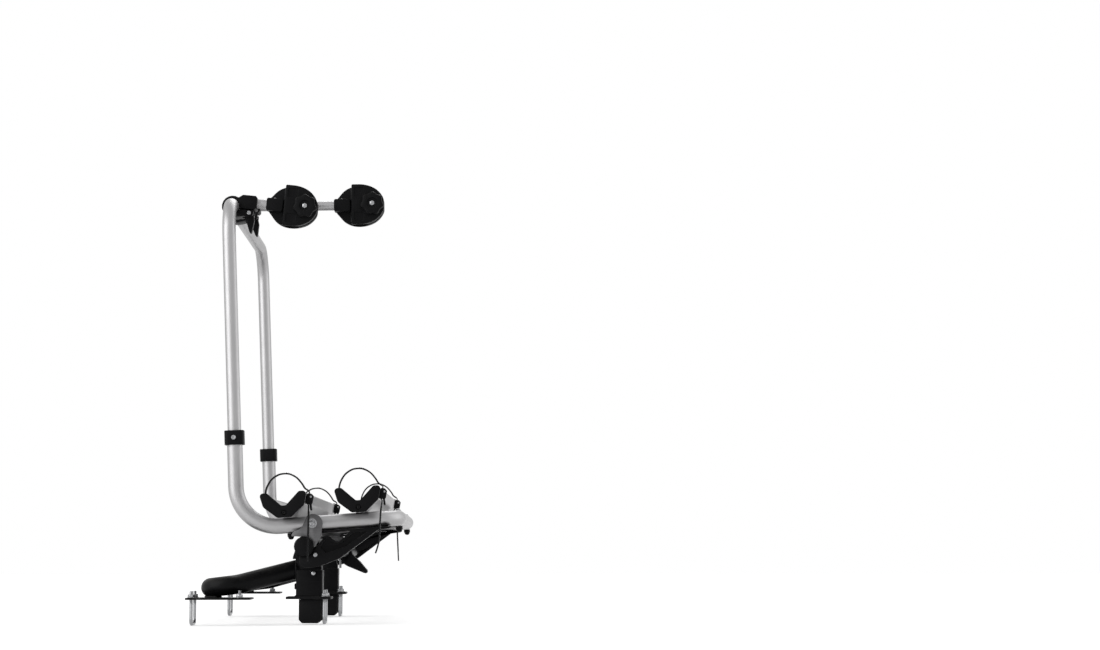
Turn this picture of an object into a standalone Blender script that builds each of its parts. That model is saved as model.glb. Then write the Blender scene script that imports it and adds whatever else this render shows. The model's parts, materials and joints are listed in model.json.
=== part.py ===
"""Carrier for two bicycles that is clamped on an A-frame drawbar.

Design coordinates: X runs along the drawbar with the tilt axis at X 0 and the car at +X,
Y runs across with the left side at +Y, Z is up with the top of the drawbar near Z 0.
The root empty then moves everything so that the origin is below the middle of the carrier.
All lengths are metres and all angles degrees.
"""
import math

import bmesh
import bpy
from mathutils import Vector
from mathutils.geometry import delaunay_2d_cdt

# Clearance between touching pieces, reach of cutters past what they cut, and facets
GAP = 0.0003
CUT_REACH = 0.010
TUBE_SEGMENTS = 20
BENT_SEGMENTS = 16
SMALL_SEGMENTS = 12
SHARP_ANGLE = 40.0

# Drawbar that the carrier is clamped on
DRAWBAR_TOP = -0.0030
DRAWBAR_DEPTH = 0.0463
DRAWBAR_CLEAR_WIDTH = 0.060

# Base tube
BASE_TUBE_RADIUS = 0.020
BASE_TUBE_WALL = 0.0025
BASE_REAR_X = -0.199
BASE_REAR_HALF_WIDTH = 0.405
BASE_KNEE_X = -0.140
BASE_KNEE_RADIUS = 0.12
BASE_CORNER_RADIUS = 0.032
BASE_SLOPE = 0.262
BASE_SLOPE_X = -0.079
BASE_SLOPE_HEIGHT = 0.0443

# Posts
POST_Y = 0.305
POST_REAR_X = -0.023
POST_FRONT_X = 0.0324
POST_WIDTH = 0.055
POST_WALL = 0.003
POST_TOP = 0.0574
POST_FLANGE_THICKNESS = 0.005
POST_FLANGE_REAR_X = -0.043
POST_FLANGE_FRONT_X = 0.0514
POST_FLANGE_WIDTH = 0.084
POST_FLANGE_CORNER = 0.004
POST_CORNER = 0.003
POST_DRAIN_RADIUS = 0.008
BEARING_WIDTH = 0.040
BEARING_RADIUS = 0.0255
BEARING_ROOT = 0.001
BEARING_FRONT_X = 0.030
BEARING_FRONT_HEIGHT = 0.0096
BEARING_STOP_REACH = 0.0075
BEARING_STOP_DROP = 0.0262
BEARING_STOP_HEIGHT = 0.004

# Clamp plates, clamp feet and U-bolts
PLATE_THICKNESS = 0.004
PLATE_REAR_X = -0.244
PLATE_FRONT_X = -0.110
PLATE_INSET = 0.025
PLATE_Y = BASE_REAR_HALF_WIDTH - PLATE_INSET
PLATE_WIDTH = 0.090
PLATE_CORNER = 0.006
FOOT_REAR_X = -0.016
FOOT_FRONT_X = 0.031
FOOT_WALL = 0.004
FOOT_CORNER = 0.007
U_BOLT_ROD_RADIUS = 0.0035
U_BOLT_SPACING = 0.064
U_BOLT_CORNER = 0.012
U_BOLT_NUT_RADIUS = 0.0075
U_BOLT_NUT_HEIGHT = 0.0065
U_BOLT_END = 0.007
U_BOLT_CHAMFER = 0.001
U_BOLT_REAR_X = -0.232
U_BOLT_FRONT_X = 0.037

# Tilt tube
PIVOT_HEIGHT = 0.1067
TILT_TUBE_RADIUS = 0.020
TILT_TUBE_WALL = 0.002
TUBE_CAP_THICKNESS = 0.0095
TUBE_CAP_PLUG = 0.015
TUBE_CAP_PLUG_WALL = 0.0027
TUBE_CAP_EDGE = 0.0015

# Lower frame, one bent tube
FRAME_TUBE_RADIUS = 0.016
FRAME_TUBE_WALL = 0.0016
FRAME_HALF_WIDTH = 0.415
PLATFORM_ANGLE = 4.2
PLATFORM_X = 0.052
PLATFORM_HEIGHT = 0.156
LEG_ANGLE = 2.35
LEG_X = -0.1435
LEG_HEIGHT = 0.2435
ELBOW_RADIUS = 0.085
FRONT_X = 0.1915
FRONT_CORNER_RADIUS = 0.060
COLLAR_HEIGHT = 0.331
BEND_STEPS = 6

# Collars
COLLAR_WIDTH = 0.040
COLLAR_LENGTH = 0.030
COLLAR_CORNER = 0.009

# Upper hoop
HOOP_TUBE_RADIUS = 0.014
HOOP_TUBE_WALL = 0.0015
HOOP_TOP = 0.831
HOOP_BOTTOM = 0.236
HOOP_CORNER_RADIUS = 0.080

# Side arms, cross tube and pedal
ARM_OFFSET = 0.0005
ARM_Y = FRAME_HALF_WIDTH + ARM_OFFSET
ARM_WIDTH = 0.026
ARM_POCKET = 0.0105
ARM_RIM = 0.0046
CROSS_TUBE_X = 0.062
CROSS_TUBE_HEIGHT = 0.096
CROSS_TUBE_RADIUS = 0.011
CROSS_TUBE_WALL = 0.0015
PEDAL_WIDTH = 0.044
PEDAL_HUB_RADIUS = 0.0165

# Pivot plates, on the outer sides of the frame and flush with the ends of the tilt tube
PIVOT_PLATE_THICKNESS = 0.004
PIVOT_PLATE_HEAD_X = 0.018
PIVOT_PLATE_HEAD_RADIUS = 0.020
PIVOT_SCREW_RADIUS = 0.0022
PIVOT_SCREWS = ((0.0100, 0.1560), (0.0240, 0.1530))
PIVOT_PLATE_INNER = FRAME_HALF_WIDTH + FRAME_TUBE_RADIUS + GAP
TILT_TUBE_HALF_LENGTH = PIVOT_PLATE_INNER + PIVOT_PLATE_THICKNESS

# Rails
RAIL_POSITIONS = {"inner": -0.0296, "outer": 0.1194}
RAIL_OVERHANG = 0.149
RAIL_HALF_LENGTH = FRAME_HALF_WIDTH + RAIL_OVERHANG
RAIL_WALL = 0.0022
RAIL_FLOOR = (0.0115, 0.0011)
RAIL_FOOT = (0.0140, 0.0020)
RAIL_WING = (0.0370, 0.0230)
RAIL_LIP_BASE = (0.0388, 0.0260)
RAIL_LIP_TOP = (0.0430, 0.0430)
CAP_FLANGE = 0.006
CAP_PLUG = 0.016
NUT_RADIUS = 0.0075
NUT_HEIGHT = 0.013
FRONT_NUT_Y = 0.335

# Straps and buckles
STRAP_INSET = 0.059
STRAP_Y = RAIL_HALF_LENGTH - STRAP_INSET
STRAP_WIDTH = 0.018
STRAP_THICKNESS = 0.002
STRAP_TOP = 0.087
BUCKLE_WIDTH = 0.024
BUCKLE_WALL = 0.0024
BUCKLE_LEVER_WIDTH = 0.0184

# Holding arms on the hoop
HOLDER_TUBE_RADIUS = 0.010
HOLDER_TUBE_WALL = 0.0015
HOLDER_OFFSET = 0.014
HOLDER_SOCKET_DEPTH = 0.022
HOLDERS = {
    "near": {"y": -0.300, "pitch": 5.2, "reach": 0.073},
    "far": {"y": -0.220, "pitch": -1.0, "reach": 0.214},
}
CLAMP_WIDTH = 0.044
CLAMP_RADIUS = 0.023
CLAMP_FRONT = 0.050
CLAMP_SOCKET_X = 0.0255
CLAMP_SPLIT = 0.0028
CLAMP_SPLIT_LOW = -0.0050
CLAMP_THROAT_X = 0.0215
LEVER_PIVOT = (0.036, -0.0105)
LEVER_WIDTH = 0.018
LEVER_PIN_RADIUS = 0.003
LEVER_PIN_INSET = 0.0005
LEVER_CAM_RADIUS = 0.0072
CLAW_THICKNESS = 0.018
CLAW_OPENING = 0.010
CLAW_GRIP_X = 0.052
CLAW_GRIP_RADIUS = 0.020
CLAW_SCREW_X = 0.081
CLAW_SCREW_RADIUS = 0.004
CLAW_SCREW_END = 0.040
CLAW_HALF_HEIGHT = 0.044
CLAW_POCKET_DEPTH = 0.002
CLAW_NECK_HALF = 0.0135
CLAW_NECK_LENGTH = 0.033
CLAW_NECK_OVERLAP = 0.003
CLAW_NECK_CORNER = 0.004
KNOB_RADIUS = 0.026
KNOB_THICKNESS = 0.015
KNOB_LOBES = 7
KNOB_LOBE_DEPTH = 0.0035
KNOB_EDGE = 0.002
KNOB_COLLAR_RADIUS = 0.012
KNOB_COLLAR_HEIGHT = 0.002
KNOB_DISH_RADIUS = 0.011
KNOB_DISH_DEPTH = 0.004

SIDES = {"left": 1.0, "right": -1.0}

ROOT = None
MATERIALS = {}


# Materials

def make_material(name, colour, roughness, metallic):
    material = bpy.data.materials.new(name)
    material.use_nodes = True
    shader = material.node_tree.nodes["Principled BSDF"]
    shader.inputs["Base Color"].default_value = (*colour, 1.0)
    shader.inputs["Roughness"].default_value = roughness
    shader.inputs["Metallic"].default_value = metallic
    MATERIALS[name] = material


def make_materials():
    make_material("anodised_aluminium", (0.62, 0.63, 0.64), 0.38, 1.0)
    make_material("black_powder_coat", (0.018, 0.018, 0.019), 0.45, 0.0)
    make_material("black_plastic", (0.025, 0.025, 0.026), 0.55, 0.0)
    make_material("zinc_plate", (0.70, 0.71, 0.73), 0.28, 1.0)
    make_material("strap_plastic", (0.012, 0.012, 0.013), 0.55, 0.0)
    make_material("silver_plate", (0.55, 0.56, 0.57), 0.45, 1.0)


# Objects

def add_object(name, bm, material, parent=None, location=(0.0, 0.0, 0.0)):
    bmesh.ops.recalc_face_normals(bm, faces=bm.faces)
    mesh = bpy.data.meshes.new(name)
    bm.to_mesh(mesh)
    bm.free()
    mesh.shade_smooth()
    mesh.set_sharp_from_angle(angle=math.radians(SHARP_ANGLE))
    mesh.materials.append(MATERIALS[material])
    thing = bpy.data.objects.new(name, mesh)
    bpy.context.scene.collection.objects.link(thing)
    thing.parent = parent or ROOT
    thing.location = location
    return thing


def add_empty(name, parent=None, location=(0.0, 0.0, 0.0)):
    empty = bpy.data.objects.new(name, None)
    bpy.context.scene.collection.objects.link(empty)
    empty.parent = parent
    empty.location = location
    return empty


def combine(first, second, operation):
    """Returns first united with or cut by second, both bmesh solids."""
    objects = []
    for bm in (first, second):
        bmesh.ops.recalc_face_normals(bm, faces=bm.faces)
        mesh = bpy.data.meshes.new("solid")
        bm.to_mesh(mesh)
        bm.free()
        thing = bpy.data.objects.new("solid", mesh)
        bpy.context.scene.collection.objects.link(thing)
        objects.append(thing)
    modifier = objects[0].modifiers.new("combine", "BOOLEAN")
    modifier.operation = operation
    modifier.solver = "EXACT"
    modifier.object = objects[1]
    graph = bpy.context.evaluated_depsgraph_get()
    mesh = bpy.data.meshes.new_from_object(objects[0].evaluated_get(graph))
    result = bmesh.new()
    result.from_mesh(mesh)
    for thing in objects:
        bpy.data.objects.remove(thing)
    return result


def unite(first, second):
    return combine(first, second, "UNION")


def cut(first, second):
    return combine(first, second, "DIFFERENCE")


# Outlines, all lists of two-number points

def circle(radius, centre=(0.0, 0.0), segments=SMALL_SEGMENTS):
    points = []
    for i in range(segments):
        angle = 2.0 * math.pi * i / segments
        points.append((centre[0] + radius * math.cos(angle), centre[1] + radius * math.sin(angle)))
    return tuple(points)


def arc(centre, radius, start, end, steps):
    points = []
    for i in range(steps + 1):
        angle = math.radians(start + (end - start) * i / steps)
        points.append((centre[0] + radius * math.cos(angle), centre[1] + radius * math.sin(angle)))
    return points


def rectangle(left, bottom, right, top):
    return ((left, bottom), (right, bottom), (right, top), (left, top))


def rounded_rectangle(left, bottom, right, top, radius, steps=3):
    points = arc((left + radius, bottom + radius), radius, 180, 270, steps)
    points += arc((right - radius, bottom + radius), radius, 270, 360, steps)
    points += arc((right - radius, top - radius), radius, 0, 90, steps)
    points += arc((left + radius, top - radius), radius, 90, 180, steps)
    return tuple(points)


def smooth_line(points, steps):
    """Returns a Catmull-Rom curve through the points."""
    line = []
    for i in range(len(points) - 1):
        before = Vector(points[max(i - 1, 0)])
        start = Vector(points[i])
        end = Vector(points[i + 1])
        after = Vector(points[min(i + 2, len(points) - 1)])
        for k in range(steps):
            t = k / steps
            point = 2.0 * start + (end - before) * t
            point += (2.0 * before - 5.0 * start + 4.0 * end - after) * t * t
            point += (3.0 * start - before - 3.0 * end + after) * t * t * t
            line.append(tuple(point * 0.5))
    line.append(tuple(points[-1]))
    return line


def band(line, thickness):
    """Returns the outline of a strip of constant thickness along a line."""
    left = []
    right = []
    for i, point in enumerate(line):
        here = Vector(point)
        back = (here - Vector(line[max(i - 1, 0)]))
        ahead = (Vector(line[min(i + 1, len(line) - 1)]) - here)
        if i == 0:
            back = ahead
        if i == len(line) - 1:
            ahead = back
        back.normalize()
        ahead.normalize()
        middle = (back + ahead).normalized()
        normal = Vector((-middle.y, middle.x))
        stretch = 1.0 / max(middle.dot(back), 0.5)
        left.append(tuple(here + normal * thickness * 0.5 * stretch))
        right.append(tuple(here - normal * thickness * 0.5 * stretch))
    return tuple(left + right[::-1])


def mirrored(points):
    """Adds the mirror image of a half outline that starts and ends near the vertical axis."""
    return tuple(list(points) + [(-x, z) for x, z in reversed(points)])


# Solids

PLANES = {
    "XZ": lambda a, b, h: (a, h, b),
    "XY": lambda a, b, h: (a, b, h),
    "YZ": lambda a, b, h: (h, a, b),
}


def point_inside(point, loop):
    inside = False
    x, y = point
    for i, (x0, y0) in enumerate(loop):
        x1, y1 = loop[i - 1]
        if (y0 > y) != (y1 > y) and x < (x1 - x0) * (y - y0) / (y1 - y0) + x0:
            inside = not inside
    return inside


def fill(loops):
    """Returns triangles between nested loops, as index triples into the joined list of their points."""
    points = [Vector(p) * 1000.0 for loop in loops for p in loop]
    edges = []
    start = 0
    for loop in loops:
        count = len(loop)
        edges += [(start + i, start + (i + 1) % count) for i in range(count)]
        start += count
    found, _, triangles, origins, _, _ = delaunay_2d_cdt(points, edges, [], 0, 1e-5)
    kept = []
    for triangle in triangles:
        middle = sum((found[i] for i in triangle), Vector((0.0, 0.0))) / (3.0 * 1000.0)
        if sum(point_inside(middle, loop) for loop in loops) % 2:
            kept.append([origins[i][0] for i in triangle])
    return kept


def layered(slabs, plane="XZ"):
    """Returns a solid made of slabs (start, end, loops) stacked along one axis.

    The first loop of a slab is its outside, the others are holes. A loop used by two
    neighbouring slabs runs on through both."""
    place = PLANES[plane]
    bm = bmesh.new()
    corners = {}

    def vertices(loop, height):
        key = (loop, round(height, 7))
        if key not in corners:
            corners[key] = [bm.verts.new(place(a, b, height)) for a, b in loop]
        return corners[key]

    def cover(loops, height):
        joined = [v for loop in loops for v in vertices(loop, height)]
        for triangle in fill(loops):
            bm.faces.new([joined[i] for i in triangle])

    for start, end, loops in slabs:
        for loop in loops:
            low = vertices(loop, start)
            high = vertices(loop, end)
            for i in range(len(loop)):
                bm.faces.new((low[i - 1], low[i], high[i], high[i - 1]))
    cover(slabs[0][2], slabs[0][0])
    cover(slabs[-1][2], slabs[-1][1])
    for (_, height, before), (_, _, after) in zip(slabs, slabs[1:]):
        cover([loop for loop in before + after if (loop in before) != (loop in after)], height)
    return bm


def bent_path(points, radii, steps=BEND_STEPS):
    """Returns the centre line through the points with each inner corner rounded."""
    line = [Vector(points[0])]
    for i in range(1, len(points) - 1):
        corner = Vector(points[i])
        back = (Vector(points[i - 1]) - corner).normalized()
        ahead = (Vector(points[i + 1]) - corner).normalized()
        half = back.angle(ahead) * 0.5
        reach = radii[i - 1] / math.tan(half)
        bisector = (back + ahead).normalized()
        centre = corner + bisector * radii[i - 1] / math.sin(half)
        first = corner + back * reach - centre
        last = corner + ahead * reach - centre
        turn = first.angle(last)
        for k in range(steps + 1):
            t = k / steps
            blend = (first * math.sin((1.0 - t) * turn) + last * math.sin(t * turn)) / math.sin(turn)
            line.append(centre + blend)
    line.append(Vector(points[-1]))
    return line


def path_frames(line):
    """Returns two directions across the line at each point, turning as little as possible."""
    tangents = []
    for i, here in enumerate(line):
        back = here - line[i - 1] if i else Vector()
        ahead = line[i + 1] - here if i < len(line) - 1 else Vector()
        total = back.normalized() + ahead.normalized()
        tangents.append(total.normalized())
    side = tangents[0].orthogonal().normalized()
    if abs(tangents[0].y) < 0.9:
        side = tangents[0].cross(Vector((0.0, 1.0, 0.0))).normalized()
    frames = []
    for i, tangent in enumerate(tangents):
        if i:
            side = tangents[i - 1].rotation_difference(tangent) @ side
            side = (side - tangent * side.dot(tangent)).normalized()
        frames.append((side, tangent.cross(side)))
    return frames


def sweep(line, radius, wall=0.0, segments=BENT_SEGMENTS, end_planes=None):
    """Returns a round bar, or a tube where a wall is given, along a centre line.

    end_planes maps a ring (0 or -1) to the X at which that end is cut square to X."""
    bm = bmesh.new()
    frames = path_frames(line)
    shells = [radius]
    if wall:
        shells.append(radius - wall)
    ends = []
    for size in shells:
        rings = []
        for i, (centre, (across, up)) in enumerate(zip(line, frames)):
            ring = []
            direction = across.cross(up)
            for k in range(segments):
                angle = 2.0 * math.pi * k / segments
                point = centre + across * size * math.cos(angle) + up * size * math.sin(angle)
                key = -1 if i == len(line) - 1 else i
                if end_planes and key in end_planes:
                    point = point + direction * ((end_planes[key] - point.x) / direction.x)
                ring.append(bm.verts.new(point))
            rings.append(ring)
        for low, high in zip(rings, rings[1:]):
            for k in range(segments):
                bm.faces.new((low[k - 1], low[k], high[k], high[k - 1]))
        ends.append((rings[0], rings[-1]))
    for end in (0, 1):
        if wall:
            outer, inner = ends[0][end], ends[1][end]
            for k in range(segments):
                bm.faces.new((outer[k - 1], outer[k], inner[k], inner[k - 1]))
        else:
            bm.faces.new(ends[0][end])
    return bm


def loft(rings):
    """Returns a solid through rings of equally many points, closed at both ends."""
    bm = bmesh.new()
    rows = [[bm.verts.new(point) for point in ring] for ring in rings]
    for low, high in zip(rows, rows[1:]):
        for k in range(len(low)):
            bm.faces.new((low[k - 1], low[k], high[k], high[k - 1]))
    bm.faces.new(rows[0])
    bm.faces.new(rows[-1])
    return bm


def ring_points(radius, height, segments=SMALL_SEGMENTS, hexagon=False):
    """Returns a level ring, round or with every second point pulled in to the flats of a hexagon."""
    points = []
    for k in range(segments):
        angle = 2.0 * math.pi * k / segments
        size = radius
        if hexagon and k % 2:
            size = radius * math.cos(math.pi / 6.0)
        points.append((size * math.cos(angle), size * math.sin(angle), height))
    return points


def bar(axis, start, end, radius, wall=0.0, centre=(0.0, 0.0), segments=TUBE_SEGMENTS):
    """Returns a straight round bar or tube along X, Y or Z."""
    a, b = centre
    ends = []
    for value in (start, end):
        if axis == "X":
            ends.append(Vector((value, a, b)))
        elif axis == "Y":
            ends.append(Vector((a, value, b)))
        else:
            ends.append(Vector((a, b, value)))
    return sweep(ends, radius, wall, segments)


# Lines of the design

def platform_height(x):
    return PLATFORM_HEIGHT + math.tan(math.radians(PLATFORM_ANGLE)) * (x - PLATFORM_X)


def leg_x(height):
    return LEG_X - math.tan(math.radians(LEG_ANGLE)) * (height - LEG_HEIGHT)


def leg_corner():
    """Returns X and Z at which the leg line meets the platform line."""
    lean = math.tan(math.radians(LEG_ANGLE))
    slope = math.tan(math.radians(PLATFORM_ANGLE))
    height = PLATFORM_HEIGHT + slope * (LEG_X + lean * LEG_HEIGHT - PLATFORM_X)
    height /= 1.0 + slope * lean
    return leg_x(height), height


def rail_origin(position):
    """Returns X and Z of the middle of a rail's underside, which rests on the platform tube."""
    lift = FRAME_TUBE_RADIUS + GAP
    angle = math.radians(PLATFORM_ANGLE)
    return (position - lift * math.sin(angle), platform_height(position) + lift * math.cos(angle))


def from_rail(position, point):
    """Returns design X and Z of a point given along and square to the platform at a rail."""
    x0, z0 = rail_origin(position)
    angle = math.radians(PLATFORM_ANGLE)
    x = x0 + point[0] * math.cos(angle) - point[1] * math.sin(angle)
    z = z0 + point[0] * math.sin(angle) + point[1] * math.cos(angle)
    return x, z


# Base

def make_base_tube():
    rear_height = DRAWBAR_TOP + PLATE_THICKNESS + GAP + BASE_TUBE_RADIUS
    end_x = POST_REAR_X - GAP
    end_height = BASE_SLOPE_HEIGHT + BASE_SLOPE * (end_x - BASE_SLOPE_X)
    knee_height = BASE_SLOPE_HEIGHT + BASE_SLOPE * (BASE_KNEE_X - BASE_SLOPE_X)
    share = (end_x - BASE_KNEE_X) / (end_x - BASE_REAR_X)
    knee_y = POST_Y + share * (BASE_REAR_HALF_WIDTH - POST_Y)
    half = [
        (end_x, POST_Y, end_height),
        (BASE_KNEE_X, knee_y, knee_height),
        (BASE_REAR_X, BASE_REAR_HALF_WIDTH, rear_height),
    ]
    points = [(x, -y, z) for x, y, z in half] + half[::-1]
    radii = [BASE_KNEE_RADIUS, BASE_CORNER_RADIUS, BASE_CORNER_RADIUS, BASE_KNEE_RADIUS]
    line = bent_path(points, radii)
    planes = {0: end_x, -1: end_x}
    bm = sweep(line, BASE_TUBE_RADIUS, BASE_TUBE_WALL, end_planes=planes)
    add_object("base_tube", bm, "black_powder_coat")


def post_foot(y):
    bottom = DRAWBAR_TOP
    flange_top = bottom + POST_FLANGE_THICKNESS
    half_flange = POST_FLANGE_WIDTH * 0.5
    half = POST_WIDTH * 0.5
    inner = half - POST_WALL
    flange = rounded_rectangle(
        POST_FLANGE_REAR_X, y - half_flange, POST_FLANGE_FRONT_X, y + half_flange, POST_FLANGE_CORNER)
    outside = rounded_rectangle(POST_REAR_X, y - half, POST_FRONT_X, y + half, POST_CORNER)
    inside = rectangle(POST_REAR_X + POST_WALL, y - inner, POST_FRONT_X - POST_WALL, y + inner)
    middle = (POST_REAR_X + POST_FRONT_X) * 0.5
    drain = circle(POST_DRAIN_RADIUS, (middle, y))
    holes = []
    for side in (-1.0, 1.0):
        centre = (U_BOLT_FRONT_X, y + side * U_BOLT_SPACING * 0.5)
        holes.append(circle(U_BOLT_ROD_RADIUS + GAP, centre))
    return layered([
        (bottom, flange_top, [flange, drain] + holes),
        (flange_top, POST_TOP - POST_WALL, [outside, inside]),
        (POST_TOP - POST_WALL, POST_TOP, [outside]),
    ], "XY")


def post_bearing(y):
    """Returns the block above the post with the bore for the tilt tube and a stop at the rear."""
    half = BEARING_WIDTH * 0.5
    pivot = (0.0, PIVOT_HEIGHT)
    root = POST_TOP - BEARING_ROOT
    stop_x = POST_REAR_X - BEARING_STOP_REACH
    stop_low = PIVOT_HEIGHT - BEARING_STOP_DROP
    outline = [
        (POST_REAR_X, root),
        (BEARING_FRONT_X, root),
        (BEARING_FRONT_X, root + BEARING_FRONT_HEIGHT),
    ]
    outline += arc(pivot, BEARING_RADIUS, -35, 190, 11)
    outline += [(stop_x, stop_low + BEARING_STOP_HEIGHT), (stop_x, stop_low), (POST_REAR_X, stop_low)]
    bore = circle(TILT_TUBE_RADIUS + GAP, pivot, TUBE_SEGMENTS)
    return layered([(y - half, y + half, [tuple(outline), bore])])


def make_posts():
    for side, sign in SIDES.items():
        bm = unite(post_foot(sign * POST_Y), post_bearing(sign * POST_Y))
        add_object("post_" + side, bm, "black_powder_coat")


def make_clamp_plates():
    half = PLATE_WIDTH * 0.5
    for side, sign in SIDES.items():
        y = sign * PLATE_Y
        outline = rounded_rectangle(PLATE_REAR_X, y - half, PLATE_FRONT_X, y + half, PLATE_CORNER)
        holes = []
        for way in (-1.0, 1.0):
            centre = (U_BOLT_REAR_X, y + way * U_BOLT_SPACING * 0.5)
            holes.append(circle(U_BOLT_ROD_RADIUS + GAP, centre))
        bm = layered([(DRAWBAR_TOP, DRAWBAR_TOP + PLATE_THICKNESS, [outline] + holes)], "XY")
        add_object("clamp_plate_" + side, bm, "black_powder_coat")


def make_clamp_feet():
    """Makes the U cradles under the drawbar, below the posts."""
    bottom = DRAWBAR_TOP - DRAWBAR_DEPTH - FOOT_WALL
    top = DRAWBAR_TOP - GAP
    inside = DRAWBAR_CLEAR_WIDTH * 0.5
    outline = [
        (FOOT_REAR_X, top),
        (FOOT_REAR_X, bottom + FOOT_CORNER),
        (FOOT_REAR_X + FOOT_CORNER, bottom),
        (FOOT_FRONT_X - FOOT_CORNER, bottom),
        (FOOT_FRONT_X, bottom + FOOT_CORNER),
        (FOOT_FRONT_X, top),
    ]
    for side, sign in SIDES.items():
        y = sign * POST_Y
        block = layered([(y - inside - FOOT_WALL, y + inside + FOOT_WALL, [tuple(outline)])])
        beam = rectangle(FOOT_REAR_X - CUT_REACH, bottom + FOOT_WALL, FOOT_FRONT_X + CUT_REACH, top + CUT_REACH)
        space = layered([(y - inside, y + inside, [beam])])
        add_object("clamp_foot_" + side, cut(block, space), "black_powder_coat")


def u_bolt(plate_top):
    """Returns a U-bolt around the drawbar with a nut above the plate on each leg, centred on X 0 and Y 0."""
    rod = U_BOLT_ROD_RADIUS
    nut = U_BOLT_NUT_RADIUS
    low = DRAWBAR_TOP - DRAWBAR_DEPTH - rod
    half = U_BOLT_SPACING * 0.5
    nut_low = plate_top + GAP
    nut_high = nut_low + U_BOLT_NUT_HEIGHT
    end = nut_high + U_BOLT_END
    stack = [(end, rod * 0.7, False), (end - U_BOLT_CHAMFER, rod, False), (nut_high, rod, False)]
    stack += [(nut_high, nut, True), (nut_low, nut, True)]
    rows = []
    for height, size, flat in stack:
        rows.append([(x, y - half, z) for x, y, z in ring_points(size, height, hexagon=flat)])
    bend = [(0, -half, nut_low), (0, -half, low), (0, half, low), (0, half, nut_low)]
    line = bent_path(bend, [U_BOLT_CORNER, U_BOLT_CORNER], 3)
    along_x = Vector((1, 0, 0))
    for centre, (across, up) in zip(line, path_frames(line)):
        inward = along_x.cross(across.cross(up))
        ring = []
        for k in range(SMALL_SEGMENTS):
            angle = 2.0 * math.pi * k / SMALL_SEGMENTS
            ring.append(tuple(centre + along_x * rod * math.cos(angle) + inward * rod * math.sin(angle)))
        rows.append(ring)
    for height, size, flat in reversed(stack):
        rows.append([(x, half - y, z) for x, y, z in ring_points(size, height, hexagon=flat)])
    return loft(rows)


def make_u_bolts():
    places = {
        "rear": (U_BOLT_REAR_X, PLATE_Y, DRAWBAR_TOP + PLATE_THICKNESS),
        "front": (U_BOLT_FRONT_X, POST_Y, DRAWBAR_TOP + POST_FLANGE_THICKNESS),
    }
    for place, (x, y, plate_top) in places.items():
        for side, sign in SIDES.items():
            name = "u_bolt_" + place + "_" + side
            add_object(name, u_bolt(plate_top), "zinc_plate", location=(x, sign * y, 0.0))


# Tilting frame

def make_tilt_tube():
    bm = bar("Y", -TILT_TUBE_HALF_LENGTH, TILT_TUBE_HALF_LENGTH, TILT_TUBE_RADIUS, TILT_TUBE_WALL)
    add_object("tilt_tube", bm, "black_powder_coat", location=(0.0, 0.0, PIVOT_HEIGHT))
    start = TILT_TUBE_HALF_LENGTH + GAP
    rim = circle(TILT_TUBE_RADIUS, segments=TUBE_SEGMENTS)
    face = circle(TILT_TUBE_RADIUS - 2.0 * TUBE_CAP_EDGE, segments=TUBE_SEGMENTS)
    plug = circle(TILT_TUBE_RADIUS - TILT_TUBE_WALL - GAP, segments=TUBE_SEGMENTS)
    core = circle(TILT_TUBE_RADIUS - TILT_TUBE_WALL - GAP - TUBE_CAP_PLUG_WALL, segments=TUBE_SEGMENTS)
    end = start + TUBE_CAP_THICKNESS
    for side, sign in SIDES.items():
        steps = [
            (start - TUBE_CAP_PLUG, start, [plug, core]),
            (start, end - TUBE_CAP_EDGE, [rim]),
            (end - TUBE_CAP_EDGE, end, [face]),
        ]
        if sign < 0:
            steps = [(-high, -low, loops) for low, high, loops in reversed(steps)]
        add_object("tube_cap_" + side, layered(steps), "black_plastic", location=(0.0, 0.0, PIVOT_HEIGHT))


def side_arm_outline():
    angle = math.radians(PLATFORM_ANGLE)
    drop = (FRAME_TUBE_RADIUS + GAP) / math.cos(angle)

    def under_tube(x, depth=0.0):
        return (x, platform_height(x) - drop - depth)

    outline = arc((0.0, PIVOT_HEIGHT), TILT_TUBE_RADIUS + GAP, -8, -115, 7)
    outline += [(-0.010, 0.077), (-0.008, 0.069), (-0.001, 0.064), (0.012, 0.0625), (0.0338, 0.0663)]
    outline += [(0.0734, 0.0818), (0.1518, 0.1409)]
    outline += [under_tube(0.175, ARM_RIM), under_tube(0.1785, 0.0030), under_tube(0.1795, 0.0008)]
    outline += [under_tube(0.178), under_tube(0.029), under_tube(0.029, ARM_RIM), under_tube(0.0935, ARM_RIM)]
    outline += [(0.0800, 0.1235), (0.0727, 0.1172), (0.0660, 0.1178), (0.0586, 0.1211), (0.0540, 0.1262)]
    outline += [(0.0510, 0.1280), (0.0450, 0.1284), (0.0410, 0.1268), (0.0350, 0.1180), (0.0270, 0.1085)]
    return tuple(outline)


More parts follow.
